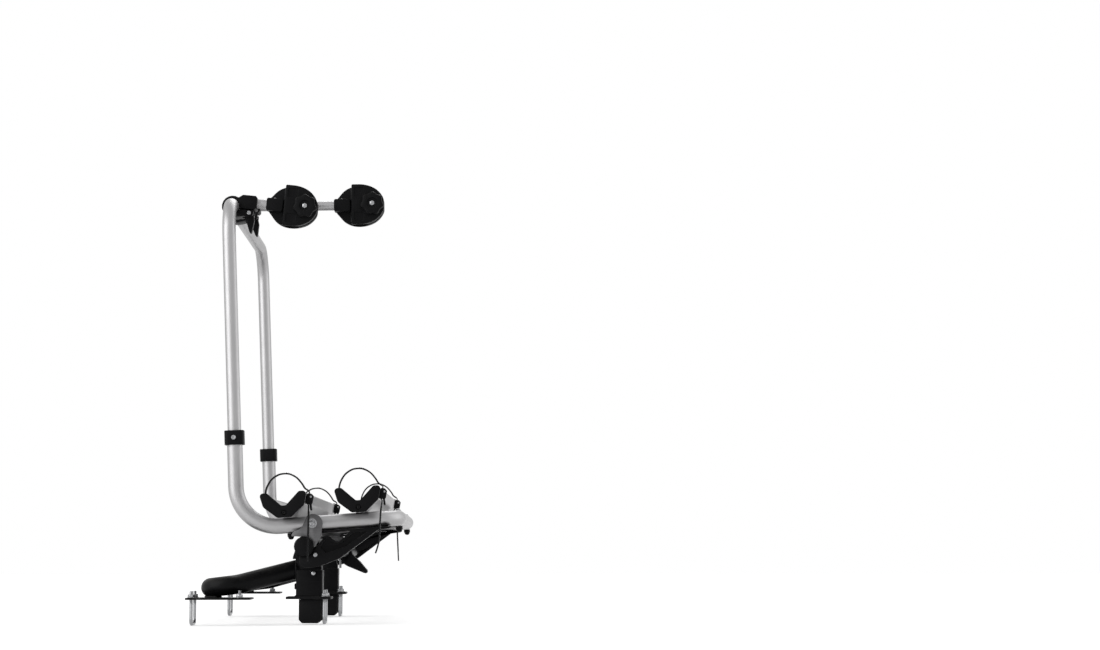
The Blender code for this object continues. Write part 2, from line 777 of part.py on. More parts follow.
def make_side_arms():
    outline = side_arm_outline()
    outer_pocket = ((0.0440, 0.0925), (0.0896, 0.1085), (0.1300, 0.1372), (0.1060, 0.1358), (0.0975, 0.1325),
                    (0.0770, 0.1140), (0.0680, 0.1128), (0.0560, 0.1172), (0.0500, 0.1236), (0.0455, 0.1240),
                    (0.0400, 0.1165), (0.0330, 0.1065))
    inner_pocket = ((0.0100, 0.0670), (0.0330, 0.0708), (0.0700, 0.0855), (0.1380, 0.1362), (0.0905, 0.1040),
                    (0.0440, 0.0880), (0.0100, 0.0790))
    half = ARM_WIDTH * 0.5
    for side, sign in SIDES.items():
        out = (half - ARM_POCKET, half, [outline, outer_pocket])
        middle = (ARM_POCKET - half, half - ARM_POCKET, [outline])
        into = (-half, ARM_POCKET - half, [outline, inner_pocket])
        slabs = [into, middle, out]
        if sign < 0:
            slabs = [(-end, -start, loops) for start, end, loops in reversed(slabs)]
        slabs = [(start + sign * ARM_Y, end + sign * ARM_Y, loops) for start, end, loops in slabs]
        add_object("side_arm_" + side, layered(slabs), "black_powder_coat")


def make_cross_tube():
    reach = ARM_Y - ARM_WIDTH * 0.5 - GAP
    centre = (CROSS_TUBE_X, CROSS_TUBE_HEIGHT)
    bm = bar("Y", -reach, reach, CROSS_TUBE_RADIUS, CROSS_TUBE_WALL, centre, 16)
    add_object("arm_cross_tube", bm, "black_powder_coat")


def make_pivot_plates():
    outline = [(-0.0262, 0.1285), (-0.0240, 0.1270), (-0.0030, 0.1272)]
    outline += arc((0.0, PIVOT_HEIGHT), TILT_TUBE_RADIUS + GAP, 86, -4, 7)
    outline += [(0.0222, 0.1058), (0.0359, 0.1260), (0.0370, 0.1460)]
    head = (PIVOT_PLATE_HEAD_X, platform_height(PIVOT_PLATE_HEAD_X))
    outline += arc(head, PIVOT_PLATE_HEAD_RADIUS, -18, 128, 9)
    outline += [(-0.0050, 0.1450), (-0.0230, 0.1352)]
    screws = [circle(PIVOT_SCREW_RADIUS, place, 8) for place in PIVOT_SCREWS]
    for side, sign in SIDES.items():
        ends = sorted((sign * PIVOT_PLATE_INNER, sign * TILT_TUBE_HALF_LENGTH))
        bm = layered([(ends[0], ends[1], [tuple(outline)] + screws)])
        add_object("pivot_plate_" + side, bm, "silver_plate")


def make_lower_frame():
    corner_x, corner_height = leg_corner()
    top = COLLAR_HEIGHT - GAP
    half = [
        (leg_x(top), FRAME_HALF_WIDTH, top),
        (corner_x, FRAME_HALF_WIDTH, corner_height),
        (FRONT_X, FRAME_HALF_WIDTH, platform_height(FRONT_X)),
    ]
    points = [(x, -y, z) for x, y, z in half] + half[::-1]
    radii = [ELBOW_RADIUS, FRONT_CORNER_RADIUS, FRONT_CORNER_RADIUS, ELBOW_RADIUS]
    bm = sweep(bent_path(points, radii), FRAME_TUBE_RADIUS, FRAME_TUBE_WALL)
    add_object("lower_frame", bm, "anodised_aluminium")


def make_collars():
    half = COLLAR_WIDTH * 0.5
    outline = rounded_rectangle(-half, -half, half, half, COLLAR_CORNER)
    lower = circle(FRAME_TUBE_RADIUS + GAP, segments=TUBE_SEGMENTS)
    upper = circle(HOOP_TUBE_RADIUS + GAP, segments=TUBE_SEGMENTS)
    for side, sign in SIDES.items():
        bm = layered([
            (-COLLAR_LENGTH * 0.5, GAP, [outline, lower]),
            (GAP, COLLAR_LENGTH * 0.5, [outline, upper]),
        ], "XY")
        place = (leg_x(COLLAR_HEIGHT), sign * FRAME_HALF_WIDTH, COLLAR_HEIGHT)
        collar = add_object("collar_" + side, bm, "black_plastic", location=place)
        collar.rotation_euler = (0.0, -math.radians(LEG_ANGLE), 0.0)


def make_pedal():
    """Makes the foot pedal with its hub around the cross tube, its origin on that tube's axis."""
    x0, z0 = CROSS_TUBE_X, CROSS_TUBE_HEIGHT
    outline = arc((x0, z0), PEDAL_HUB_RADIUS, 0, 215, 11)
    outline += [(0.0600, 0.0700), (0.0683, 0.0644), (0.1053, 0.0492), (0.1100, 0.0480), (0.1130, 0.0502)]
    outline += [(0.1131, 0.0543), (0.0943, 0.0762), (0.0800, 0.0900)]
    local = tuple((x - x0, z - z0) for x, z in outline)
    bore = circle(CROSS_TUBE_RADIUS + GAP, segments=16)
    half = PEDAL_WIDTH * 0.5
    bm = layered([(-half, half, [local, bore])])
    add_object("pedal_lever", bm, "black_plastic", location=(x0, 0.0, z0))


# Rails and straps

def rail_profile():
    half = [(0.0, RAIL_FLOOR[1]), RAIL_FLOOR, RAIL_FOOT, RAIL_WING, RAIL_LIP_BASE, RAIL_LIP_TOP]
    line = [(-x, z) for x, z in reversed(half[1:])] + half
    return band(line, RAIL_WALL)


def cap_outlines():
    """Returns the outlines of an end cap's flange and of its plug inside the rail."""
    flange = [(0.0140, -0.0025), (0.0410, 0.0205), (0.0475, 0.0440), (0.0440, 0.0505)]
    flange += [(0.0315, 0.0505), (0.0275, 0.0460), (0.0040, 0.0215)]
    plug = [(0.0115, 0.0028), (0.0352, 0.0245), (0.0372, 0.0270), (0.0405, 0.0405)]
    plug += [(0.0330, 0.0410), (0.0060, 0.0150)]
    return mirrored(flange), mirrored(plug)


def make_rails():
    profile = rail_profile()
    flange, plug = cap_outlines()
    for rail, position in RAIL_POSITIONS.items():
        x, z = rail_origin(position)
        tilt = -math.radians(PLATFORM_ANGLE)
        bm = layered([(-RAIL_HALF_LENGTH, RAIL_HALF_LENGTH, [profile])])
        thing = add_object("rail_" + rail, bm, "anodised_aluminium", location=(x, 0.0, z))
        thing.rotation_euler = (0.0, tilt, 0.0)
        for side, sign in SIDES.items():
            start = RAIL_HALF_LENGTH + GAP
            slabs = [(start - CAP_PLUG, start, [plug]), (start, start + CAP_FLANGE, [flange])]
            if sign < 0:
                slabs = [(-end, -begin, loops) for begin, end, loops in reversed(slabs)]
            name = "rail_" + rail + "_cap_" + side
            cap = add_object(name, layered(slabs), "black_plastic", location=(x, 0.0, z))
            cap.rotation_euler = (0.0, tilt, 0.0)


def cap_nut():
    """Returns a hexagon cap nut hanging below Z 0."""
    return loft([
        ring_points(NUT_RADIUS, 0.0, hexagon=True),
        ring_points(NUT_RADIUS, -NUT_HEIGHT * 0.5, hexagon=True),
        ring_points(NUT_RADIUS * 0.82, -NUT_HEIGHT * 0.58),
        ring_points(NUT_RADIUS * 0.74, -NUT_HEIGHT * 0.80),
        ring_points(NUT_RADIUS * 0.42, -NUT_HEIGHT * 0.97),
        ring_points(NUT_RADIUS * 0.15, -NUT_HEIGHT),
    ])


def make_cap_nuts():
    """Makes the nuts of the inner rail's screws and of the two screws in the front bar."""
    tilt = math.radians(PLATFORM_ANGLE)
    drop = FRAME_TUBE_RADIUS + GAP
    places = (
        ("rail_inner_nut_", RAIL_POSITIONS["inner"], FRAME_HALF_WIDTH),
        ("front_nut_", FRONT_X, FRONT_NUT_Y),
    )
    for name, x, y in places:
        under = (x + drop * math.sin(tilt), platform_height(x) - drop * math.cos(tilt))
        for side, sign in SIDES.items():
            nut = add_object(name + side, cap_nut(), "black_plastic", location=(under[0], sign * y, under[1]))
            nut.rotation_euler = (0.0, -tilt, 0.0)


# How each strap's free end hangs below its buckle, as X and Z
STRAP_TAILS = {
    ("inner", "right"): (
        (0.0132, 0.1870), (0.0130, 0.1500), (0.0125, 0.1100), (0.0118, 0.0750)),
    ("inner", "left"): (
        (0.0136, 0.1870), (0.0140, 0.1700), (0.0175, 0.1560), (0.0260, 0.1490), (0.0350, 0.1500)),
    ("outer", "right"): (
        (0.1625, 0.1980), (0.1597, 0.1800), (0.1576, 0.1442), (0.1556, 0.1135), (0.1494, 0.0921)),
    ("outer", "left"): (
        (0.1632, 0.1980), (0.1637, 0.1600), (0.1655, 0.1200), (0.1680, 0.0742)),
}


def on_lip(along, out):
    """Returns a rail point given along the lip from its base and outwards from its middle plane."""
    direction = (Vector(RAIL_LIP_TOP) - Vector(RAIL_LIP_BASE)).normalized()
    outward = Vector((direction.y, -direction.x))
    return tuple(Vector(RAIL_LIP_BASE) + direction * along + outward * out)


def strap_line(rail, side):
    position = RAIL_POSITIONS[rail]
    arch = [(-0.0358, 0.0270), (-0.0394, 0.0400), (-0.0390, 0.0510), (-0.0345, 0.0640), (-0.0250, 0.0770)]
    arch += [(-0.0120, 0.0850), (0.0, STRAP_TOP), (0.0120, 0.0850), (0.0250, 0.0770), (0.0345, 0.0650)]
    arch += [(0.0400, 0.0550), (0.0450, 0.0505), (0.0492, 0.0470)]
    arch += [on_lip(0.0120, 0.0052), on_lip(-0.0010, 0.0052)]
    points = [from_rail(position, point) for point in arch] + list(STRAP_TAILS[(rail, side)])
    return smooth_line(points, 2)


def make_straps():
    half = STRAP_WIDTH * 0.5
    for rail in RAIL_POSITIONS:
        for side, sign in SIDES.items():
            outline = band(strap_line(rail, side), STRAP_THICKNESS)
            y = sign * STRAP_Y
            bm = layered([(y - half, y + half, [outline])])
            add_object("strap_" + rail + "_" + side, bm, "strap_plastic")


def buckle_body():
    """Returns the buckle's channel: two walls joined by a base plate along the rail's lip."""
    wall = tuple(on_lip(a, b) for a, b in (
        (-0.0020, 0.0015), (0.0160, 0.0015), (0.0195, 0.0030), (0.0200, 0.0100), (0.0160, 0.0150),
        (0.0020, 0.0150), (-0.0020, 0.0120)))
    base = tuple(on_lip(a, b) for a, b in (
        (-0.0016, 0.0019), (0.0155, 0.0019), (0.0155, 0.0037), (-0.0016, 0.0037)))
    half = BUCKLE_WIDTH * 0.5
    inner = half - BUCKLE_WALL
    return layered([(-half, -inner, [wall]), (-inner, inner, [base]), (inner, half, [wall])])


def buckle_lever():
    """Returns the lever around its pivot, with the grip hanging down outside the strap."""
    pivot = Vector(on_lip(0.0135, 0.0105))
    shape = [(0.0165, 0.0085), (0.0176, 0.0105), (0.0165, 0.0130), (0.0135, 0.0140), (-0.0020, 0.0140)]
    shape += [(-0.0120, 0.0172), (-0.0140, 0.0160), (-0.0130, 0.0140), (-0.0040, 0.0105), (0.0100, 0.0080)]
    shape += [(0.0135, 0.0071)]
    outline = tuple(tuple(Vector(on_lip(a, b)) - pivot) for a, b in shape)
    half = BUCKLE_LEVER_WIDTH * 0.5
    return layered([(-half, half, [outline])]), pivot


def make_buckles():
    tilt = -math.radians(PLATFORM_ANGLE)
    for rail, position in RAIL_POSITIONS.items():
        x, z = rail_origin(position)
        for side, sign in SIDES.items():
            y = sign * STRAP_Y
            body = add_object("buckle_" + rail + "_" + side, buckle_body(), "black_plastic", location=(x, y, z))
            body.rotation_euler = (0.0, tilt, 0.0)
            bm, pivot = buckle_lever()
            place = from_rail(position, pivot)
            name = "buckle_lever_" + rail + "_" + side
            lever = add_object(name, bm, "black_plastic", location=(place[0], y, place[1]))
            lever.rotation_euler = (0.0, tilt, 0.0)


# Upper hoop and its holding arms

def make_upper_hoop():
    half = [
        (leg_x(HOOP_BOTTOM), FRAME_HALF_WIDTH, HOOP_BOTTOM),
        (leg_x(HOOP_TOP), FRAME_HALF_WIDTH, HOOP_TOP),
    ]
    points = [(x, -y, z) for x, y, z in half] + half[::-1]
    line = bent_path(points, [HOOP_CORNER_RADIUS, HOOP_CORNER_RADIUS])
    add_object("upper_hoop", sweep(line, HOOP_TUBE_RADIUS, HOOP_TUBE_WALL), "anodised_aluminium")


def hoop_clamp():
    """Returns the clamp around the crossbar with the socket of the arm tube, seen along the crossbar."""
    half = CLAMP_WIDTH * 0.5
    outline = arc((0.0, 0.0), CLAMP_RADIUS, 62, 290, 12)
    outline += [(0.0240, -0.0185), (0.0360, -0.0195), (0.0430, -0.0165), (0.0450, -0.0105), (0.0450, -0.0035)]
    outline += [(CLAMP_FRONT, 0.0010), (CLAMP_FRONT, 0.0240), (0.0470, 0.0270), (0.0200, 0.0270)]
    bore = circle(HOOP_TUBE_RADIUS + GAP, segments=TUBE_SEGMENTS)
    block = layered([(-half, half, [tuple(outline), bore])])
    right = CLAMP_FRONT + CUT_REACH
    socket = bar("X", CLAMP_SOCKET_X, right, HOLDER_TUBE_RADIUS + GAP, 0.0, (0.0, HOLDER_OFFSET))
    block = cut(block, socket)
    split = rectangle(HOOP_TUBE_RADIUS - CLAMP_SPLIT, CLAMP_SPLIT_LOW, right, CLAMP_SPLIT_LOW + CLAMP_SPLIT)
    block = cut(block, layered([(-half - CUT_REACH, half + CUT_REACH, [split])]))
    fork = LEVER_WIDTH * 0.5 + GAP
    throat = rectangle(CLAMP_THROAT_X, -CLAMP_RADIUS - CUT_REACH, right, CLAMP_SPLIT_LOW + CLAMP_SPLIT)
    block = cut(block, layered([(-fork, fork, [throat])]))
    pin = bar("Y", -half - CUT_REACH, half + CUT_REACH, LEVER_PIN_RADIUS + GAP, 0.0, LEVER_PIVOT, 12)
    return cut(block, pin)


def clamp_lever():
    """Returns the pointed lever with its pin, around the pin's axis."""
    x0, z0 = LEVER_PIVOT
    outline = arc(LEVER_PIVOT, LEVER_CAM_RADIUS, 20, 150, 5)
    outline += [(0.0245, -0.0150), (0.0280, -0.0250), (0.0335, -0.0345), (0.0395, -0.0495), (0.0412, -0.0520)]
    outline += [(0.0436, -0.0515), (0.0446, -0.0490), (0.0475, -0.0250), (0.0455, -0.0150)]
    local = tuple((x - x0, z - z0) for x, z in outline)
    pin = circle(LEVER_PIN_RADIUS)
    half = LEVER_WIDTH * 0.5
    pin_end = CLAMP_WIDTH * 0.5 - LEVER_PIN_INSET
    return layered([(-pin_end, -half, [pin]), (-half, half, [local]), (half, pin_end, [pin])])


def around_grip(shape):
    """Returns both halves of an outline that is given as shares of the grip's X and the claw's height."""
    half = [(CLAW_GRIP_X * x, CLAW_HALF_HEIGHT * z) for x, z in shape]
    return tuple([(x, -z) for x, z in reversed(half)] + half)


def jaw_shape():
    return [(0.69, 0.955), (1.04, 1.0), (1.385, 0.936), (1.69, 0.773), (1.92, 0.511), (2.04, 0.205)]


def jaw_outline():
    return around_grip(jaw_shape())


def claw_outline():
    return around_grip([(0.0, 0.216), (0.154, 0.477), (0.385, 0.773)] + jaw_shape())


def claw_pockets():
    """Returns the two hollows beside the screw in the outer face of a jaw."""
    low = CLAW_HALF_HEIGHT * 0.386
    above = [(CLAW_GRIP_X * x, CLAW_HALF_HEIGHT * z) for x, z in ((0.77, 0.84), (1.04, 0.886), (1.23, 0.86))]
    above = [(above[0][0], low)] + above + [(above[-1][0], low)]
    below = [(x, -z) for x, z in reversed(above)]
    return [tuple(above), tuple(below)]


def grip_groove():
    """Returns the cutter of the upright groove in which a bicycle's frame tube lies."""
    reach = CLAW_HALF_HEIGHT + CUT_REACH
    return bar("Z", -reach, reach, CLAW_GRIP_RADIUS, 0.0, (CLAW_GRIP_X, 0.0))


def fixed_jaw():
    """Returns the far jaw with the socket of the arm tube; X runs outwards from the socket's face."""
    inner = CLAW_OPENING * 0.5
    outer = inner + CLAW_THICKNESS
    outline = claw_outline()
    screw = circle(CLAW_SCREW_RADIUS + GAP, (CLAW_SCREW_X, 0.0))
    plate = layered([
        (inner, outer - CLAW_POCKET_DEPTH, [outline, screw]),
        (outer - CLAW_POCKET_DEPTH, outer, [outline, screw] + claw_pockets()),
    ])
    neck = rounded_rectangle(
        -CLAW_NECK_OVERLAP, -CLAW_NECK_HALF, CLAW_NECK_LENGTH, CLAW_NECK_HALF, CLAW_NECK_CORNER)
    jaw = unite(plate, layered([(-CLAW_NECK_HALF, inner + CLAW_THICKNESS * 0.55, [neck])]))
    socket = bar("X", -CUT_REACH, HOLDER_SOCKET_DEPTH, HOLDER_TUBE_RADIUS + GAP)
    return cut(cut(jaw, socket), grip_groove())


def sliding_jaw():
    inner = CLAW_OPENING * 0.5
    outer = inner + CLAW_THICKNESS
    outline = jaw_outline()
    screw = circle(CLAW_SCREW_RADIUS + GAP, (CLAW_SCREW_X, 0.0))
    jaw = layered([
        (-outer, CLAW_POCKET_DEPTH - outer, [outline, screw] + claw_pockets()),
        (CLAW_POCKET_DEPTH - outer, -inner, [outline, screw]),
    ])
    return cut(jaw, grip_groove())


def lobed_outline(radius, depth):
    points = []
    count = KNOB_LOBES * 4
    for i in range(count):
        angle = 2.0 * math.pi * i / count
        size = radius - depth * 0.5 * (1.0 - math.cos(KNOB_LOBES * angle))
        points.append((size * math.cos(angle), size * math.sin(angle)))
    return tuple(points)


def jaw_knob():
    """Returns the knob and its screw along Y, which passes through both jaws."""
    foot = -(CLAW_OPENING * 0.5 + CLAW_THICKNESS + GAP)
    bottom = foot - KNOB_COLLAR_HEIGHT
    top = bottom - KNOB_THICKNESS
    head = lobed_outline(KNOB_RADIUS, KNOB_LOBE_DEPTH)
    face = lobed_outline(KNOB_RADIUS - KNOB_EDGE, KNOB_LOBE_DEPTH)
    dish = circle(KNOB_DISH_RADIUS, segments=BENT_SEGMENTS)
    collar = circle(KNOB_COLLAR_RADIUS, segments=BENT_SEGMENTS)
    shaft = circle(CLAW_SCREW_RADIUS)
    return layered([
        (top, top + KNOB_EDGE, [face, dish]),
        (top + KNOB_EDGE, top + KNOB_DISH_DEPTH, [head, dish]),
        (top + KNOB_DISH_DEPTH, bottom, [head]),
        (bottom, foot, [collar]),
        (foot, CLAW_SCREW_END, [shaft]),
    ])


def make_holders():
    for name, values in HOLDERS.items():
        hinge = add_empty("holder_" + name, ROOT, (leg_x(HOOP_TOP), values["y"], HOOP_TOP))
        hinge.rotation_euler = (0.0, math.radians(values["pitch"]), 0.0)
        reach = values["reach"]
        add_object("hoop_clamp_" + name, hoop_clamp(), "black_plastic", hinge)
        lever_place = (LEVER_PIVOT[0], 0.0, LEVER_PIVOT[1])
        add_object("clamp_lever_" + name, clamp_lever(), "black_plastic", hinge, lever_place)
        start = CLAMP_SOCKET_X + GAP
        end = reach + HOLDER_SOCKET_DEPTH - GAP
        tube = bar("X", start, end, HOLDER_TUBE_RADIUS, HOLDER_TUBE_WALL, (0.0, HOLDER_OFFSET))
        add_object("arm_tube_" + name, tube, "anodised_aluminium", hinge)
        place = (reach, 0.0, HOLDER_OFFSET)
        add_object("frame_claw_" + name, fixed_jaw(), "black_plastic", hinge, place)
        add_object("frame_jaw_" + name, sliding_jaw(), "black_plastic", hinge, place)
        knob_place = (reach + CLAW_SCREW_X, 0.0, HOLDER_OFFSET)
        add_object("jaw_knob_" + name, jaw_knob(), "black_plastic", hinge, knob_place)


# Assembly

def clear_scene():
    for thing in list(bpy.data.objects):
        bpy.data.objects.remove(thing)


def centre_on_floor():
    """Moves the root so that the origin is below the middle of the carrier."""
    bpy.context.view_layer.update()
    corners = []
    for thing in bpy.context.scene.objects:
        if thing.type == "MESH":
            corners += [thing.matrix_world @ vertex.co for vertex in thing.data.vertices]
    low_x = min(corner.x for corner in corners)
    high_x = max(corner.x for corner in corners)
    low_z = min(corner.z for corner in corners)
    ROOT.location = (-0.5 * (low_x + high_x), 0.0, -low_z)
    bpy.context.view_layer.update()


def build():
    global ROOT
    clear_scene()
    make_materials()
    ROOT = add_empty("carrier")
    make_base_tube()
    make_posts()
    make_clamp_plates()
    make_clamp_feet()
    make_u_bolts()
    make_tilt_tube()
    make_side_arms()
    make_cross_tube()
    make_pivot_plates()
    make_lower_frame()
    make_collars()
    make_pedal()
    make_rails()
    make_cap_nuts()
    make_straps()
    make_buckles()
    make_upper_hoop()
    make_holders()
    centre_on_floor()


build()
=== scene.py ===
# Finish, hardware and stage of a tilting bicycle carrier, laid out as an add-on.
import json
import math

import bmesh
import bpy
from mathutils import Matrix, Vector

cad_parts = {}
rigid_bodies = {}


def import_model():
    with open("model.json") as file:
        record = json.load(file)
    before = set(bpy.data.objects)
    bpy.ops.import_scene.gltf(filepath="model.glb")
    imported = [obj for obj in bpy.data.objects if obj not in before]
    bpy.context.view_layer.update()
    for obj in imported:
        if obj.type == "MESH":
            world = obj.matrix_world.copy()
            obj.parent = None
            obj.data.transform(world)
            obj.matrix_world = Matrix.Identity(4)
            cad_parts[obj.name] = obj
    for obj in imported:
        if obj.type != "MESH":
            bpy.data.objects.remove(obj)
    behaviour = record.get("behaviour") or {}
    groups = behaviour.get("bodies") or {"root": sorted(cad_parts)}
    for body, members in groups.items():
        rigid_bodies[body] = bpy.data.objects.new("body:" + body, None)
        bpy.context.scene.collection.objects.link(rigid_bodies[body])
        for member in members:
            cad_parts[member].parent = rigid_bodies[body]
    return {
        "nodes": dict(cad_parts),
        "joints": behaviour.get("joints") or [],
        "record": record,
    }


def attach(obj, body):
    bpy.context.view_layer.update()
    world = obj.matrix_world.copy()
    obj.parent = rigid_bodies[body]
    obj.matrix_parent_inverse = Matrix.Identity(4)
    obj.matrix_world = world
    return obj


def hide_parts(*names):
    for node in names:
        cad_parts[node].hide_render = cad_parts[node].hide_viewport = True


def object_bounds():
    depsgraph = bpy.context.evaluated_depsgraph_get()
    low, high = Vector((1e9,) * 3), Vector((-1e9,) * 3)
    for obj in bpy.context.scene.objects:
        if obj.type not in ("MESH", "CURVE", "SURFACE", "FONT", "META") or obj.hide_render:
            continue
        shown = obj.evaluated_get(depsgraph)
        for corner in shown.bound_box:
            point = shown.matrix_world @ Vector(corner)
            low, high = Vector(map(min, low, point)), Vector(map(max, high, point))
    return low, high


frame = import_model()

CAD_LOW, CAD_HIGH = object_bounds()

bl_info = {
    "name": "Drawbar Bicycle Carrier",
    "version": (1, 0, 0),
    "blender": (4, 5, 0),
    "location": "3D View > Sidebar > Carrier",
    "description": "Finishes, hardware and stage of a tilting bicycle carrier for a caravan drawbar",
    "category": "Object",
}


# Places of the design, in metres

JOINTS = {joint["name"]: joint for joint in frame["joints"]}
SLOTS = {entry["node"]: entry["material_slot"] for entry in frame["record"]["subparts"]}
PIVOT_HEIGHT = 0.1067
DESIGN_ORIGIN = Vector(JOINTS["tilt"]["pos_m"]) - Vector((0.0, 0.0, PIVOT_HEIGHT))
PLATFORM_TILT = math.radians(4.2)
LEG_LEAN = math.radians(2.35)
UP = Vector((0.0, 0.0, 1.0))
BACKWARD = Vector((-1.0, 0.0, 0.0))
WAYS = (-1.0, 1.0)
SIDES = {"left": 1.0, "right": -1.0}
OUTWARD = {"left": Vector((0.0, 1.0, 0.0)), "right": Vector((0.0, -1.0, 0.0))}


def design(x, y, z):
    """Returns a point in the frame's space, given from the clamping plane under the tilt axis."""
    return DESIGN_ORIGIN + Vector((x, y, z))


# Settings

def colour_setting(name, text, value):
    return bpy.props.FloatVectorProperty(
        name=name, description=text, subtype="COLOR", size=3, min=0.0, max=1.0, default=value)


def share_setting(name, text, value):
    return bpy.props.FloatProperty(
        name=name, description=text, subtype="FACTOR", min=0.0, max=1.0, default=value)


def length_setting(name, text, value):
    return bpy.props.FloatProperty(
        name=name, description=text, subtype="DISTANCE", unit="LENGTH", default=value)


def angle_setting(name, text, degrees):
    return bpy.props.FloatProperty(
        name=name, description=text, subtype="ANGLE", unit="ROTATION", default=math.radians(degrees))


def count_setting(name, text, value, most=8, least=1):
    return bpy.props.IntProperty(name=name, description=text, min=least, max=most, default=value)


def measured_setting(name, text, value, unit):
    return bpy.props.FloatProperty(name=name, description=text, unit=unit, default=value)


class CarrierFinishSettings(bpy.types.PropertyGroup):
    steel_colour: colour_setting("Steel coating", "Colour of the coated steel", (0.0035, 0.0035, 0.0039))
    aluminium_colour: colour_setting("Aluminium", "Colour of the tubes and rails", (0.36, 0.357, 0.361))
    plate_colour: colour_setting("Plate", "Colour of the pivot plates", (0.125, 0.124, 0.127))
    zinc_colour: colour_setting("Zinc", "Colour of the plated bolts and nuts", (0.32, 0.324, 0.332))
    plastic_colour: colour_setting("Plastic", "Colour of clamps and caps", (0.0032, 0.0032, 0.0036))
    strap_colour: colour_setting("Strap", "Colour of the toothed wheel straps", (0.005, 0.005, 0.0055))
    wear: share_setting("Wear", "How far the edges are rubbed", 0.35)
    dust: share_setting("Dust", "How much dust lies on faces that look up", 0.25)
    edge_width: length_setting("Edge width", "Width of the rubbed strip along an edge", 0.0012)


class CarrierDetailSettings(bpy.types.PropertyGroup):
    soft_edge: length_setting("Soft edge", "Radius of the edges of plates and moulded parts", 0.0007)
    weld_radius: length_setting("Weld", "Radius of the larger weld beads", 0.0022)
    rod_radius: length_setting("U-bolt rod", "Radius of the U-bolts", 0.0035)
    nut_flat: length_setting("Nut", "Distance from the axis of a nut to its flats", 0.0063)
    rib_count: count_setting("Rail ribs", "How many ribs run along each wing of a rail", 4)
    rib_radius: length_setting("Rib", "Radius of the ribs along the rails", 0.0009)
    strap_width: length_setting("Strap width", "Width of the wheel straps", 0.018)
    strap_base: length_setting("Strap", "Thickness of a strap without its teeth", 0.0027)
    tooth_rise: length_setting("Teeth", "How far the teeth of a strap rise", 0.0008)
    tooth_pitch: length_setting("Tooth pitch", "Distance from tooth to tooth", 0.0032)
    lever_ribs: count_setting("Lever ribs", "How many grip ribs a buckle lever has", 5)
    pad_wall: length_setting("Pad", "Thickness of the pads that line the claws", 0.0024)
    knob_lobes: count_setting("Knob lobes", "How many lobes a clamping knob has", 7, 12, 3)
    tread_ribs: count_setting("Pedal ribs", "How many ribs the foot pedal has", 7, 12)


class CarrierStageSettings(bpy.types.PropertyGroup):
    camera_place: bpy.props.FloatVectorProperty(
        name="Camera place", description="Where the camera stands", subtype="XYZ", unit="LENGTH", size=3,
        default=(0.3457, -5.14, 0.1449))
    camera_pitch: angle_setting("Camera pitch", "How far the camera looks up", 5.80)
    camera_yaw: angle_setting("Camera yaw", "How far the camera looks to the right", 2.19)
    lens: measured_setting(
        "Lens", "Focal length for a sensor 36 mm wide, in millimetres", 74.16, "CAMERA")
    key_power: measured_setting("Key light", "Power of the key light", 96.0, "POWER")
    fill_power: measured_setting("Fill light", "Power of the fill light", 26.0, "POWER")
    back_power: measured_setting("Back light", "Power of the light above and behind", 20.0, "POWER")
    surround: share_setting("Surround", "How bright the surround lights the object", 0.36)
    floor_size: length_setting("Floor", "Width of the square floor", 24.0)


# Materials

def add_node(tree, kind, inputs=None, **settings):
    """Adds a shader node; each input is a value or the socket that feeds it."""
    made = tree.nodes.new(kind)
    for name, value in settings.items():
        setattr(made, name, value)
    for name, value in (inputs or {}).items():
        if isinstance(value, bpy.types.NodeSocket):
            tree.links.new(value, made.inputs[name])
        else:
            made.inputs[name].default_value = value
    return made


def math_node(tree, operation, first, second, clamp=False):
    made = add_node(tree, "ShaderNodeMath", {0: first, 1: second}, operation=operation, use_clamp=clamp)
    return made.outputs[0]


def added(tree, first, second):
    return math_node(tree, "ADD", first, second)


def multiplied(tree, first, second, clamp=False):
    return math_node(tree, "MULTIPLY", first, second, clamp)


def larger(tree, first, second):
    return math_node(tree, "MAXIMUM", first, second)


def ramp(tree, value, start, end, low=0.0, high=1.0):
    """Maps a value from start..end to low..high, held within those limits."""
    made = add_node(tree, "ShaderNodeMapRange", {
        "Value": value, "From Min": start, "From Max": end, "To Min": low, "To Max": high})
    return made.outputs[0]


def mixed(tree, share, first, second):
    """Returns the colour between two colours."""
    made = add_node(tree, "ShaderNodeMix", data_type="RGBA")
    for socket, value in ((made.inputs[0], share), (made.inputs[6], first), (made.inputs[7], second)):
        if isinstance(value, bpy.types.NodeSocket):
            tree.links.new(value, socket)
        else:
            socket.default_value = value
    return made.outputs[2]


def noise(tree, vector, scale, detail=2.0, roughness=0.5):
    made = add_node(tree, "ShaderNodeTexNoise", {
        "Vector": vector, "Scale": scale, "Detail": detail, "Roughness": roughness})
    return made.outputs["Fac"]


def clouds(tree, vector, scale):
    """Returns soft patches between 0 and 1."""
    return ramp(tree, noise(tree, vector, scale, detail=3.0, roughness=0.6), 0.3, 0.7)


def new_group(name, inputs, outputs):
    """Starts a node group; inputs are (name, socket type, default) and outputs are (name, socket type)."""
    tree = bpy.data.node_groups.new(name, "ShaderNodeTree")
    for label, kind, value in inputs:
        socket = tree.interface.new_socket(name=label, in_out="INPUT", socket_type=kind)
        if value is not None:
            socket.default_value = value
    for label, kind in outputs:
        tree.interface.new_socket(name=label, in_out="OUTPUT", socket_type=kind)
    source = tree.nodes.new("NodeGroupInput")
    target = tree.nodes.new("NodeGroupOutput")
    return tree, source.outputs, target.inputs


FLOAT = "NodeSocketFloat"
VECTOR = "NodeSocketVector"


def object_point(tree):
    return add_node(tree, "ShaderNodeTexCoord").outputs["Object"]


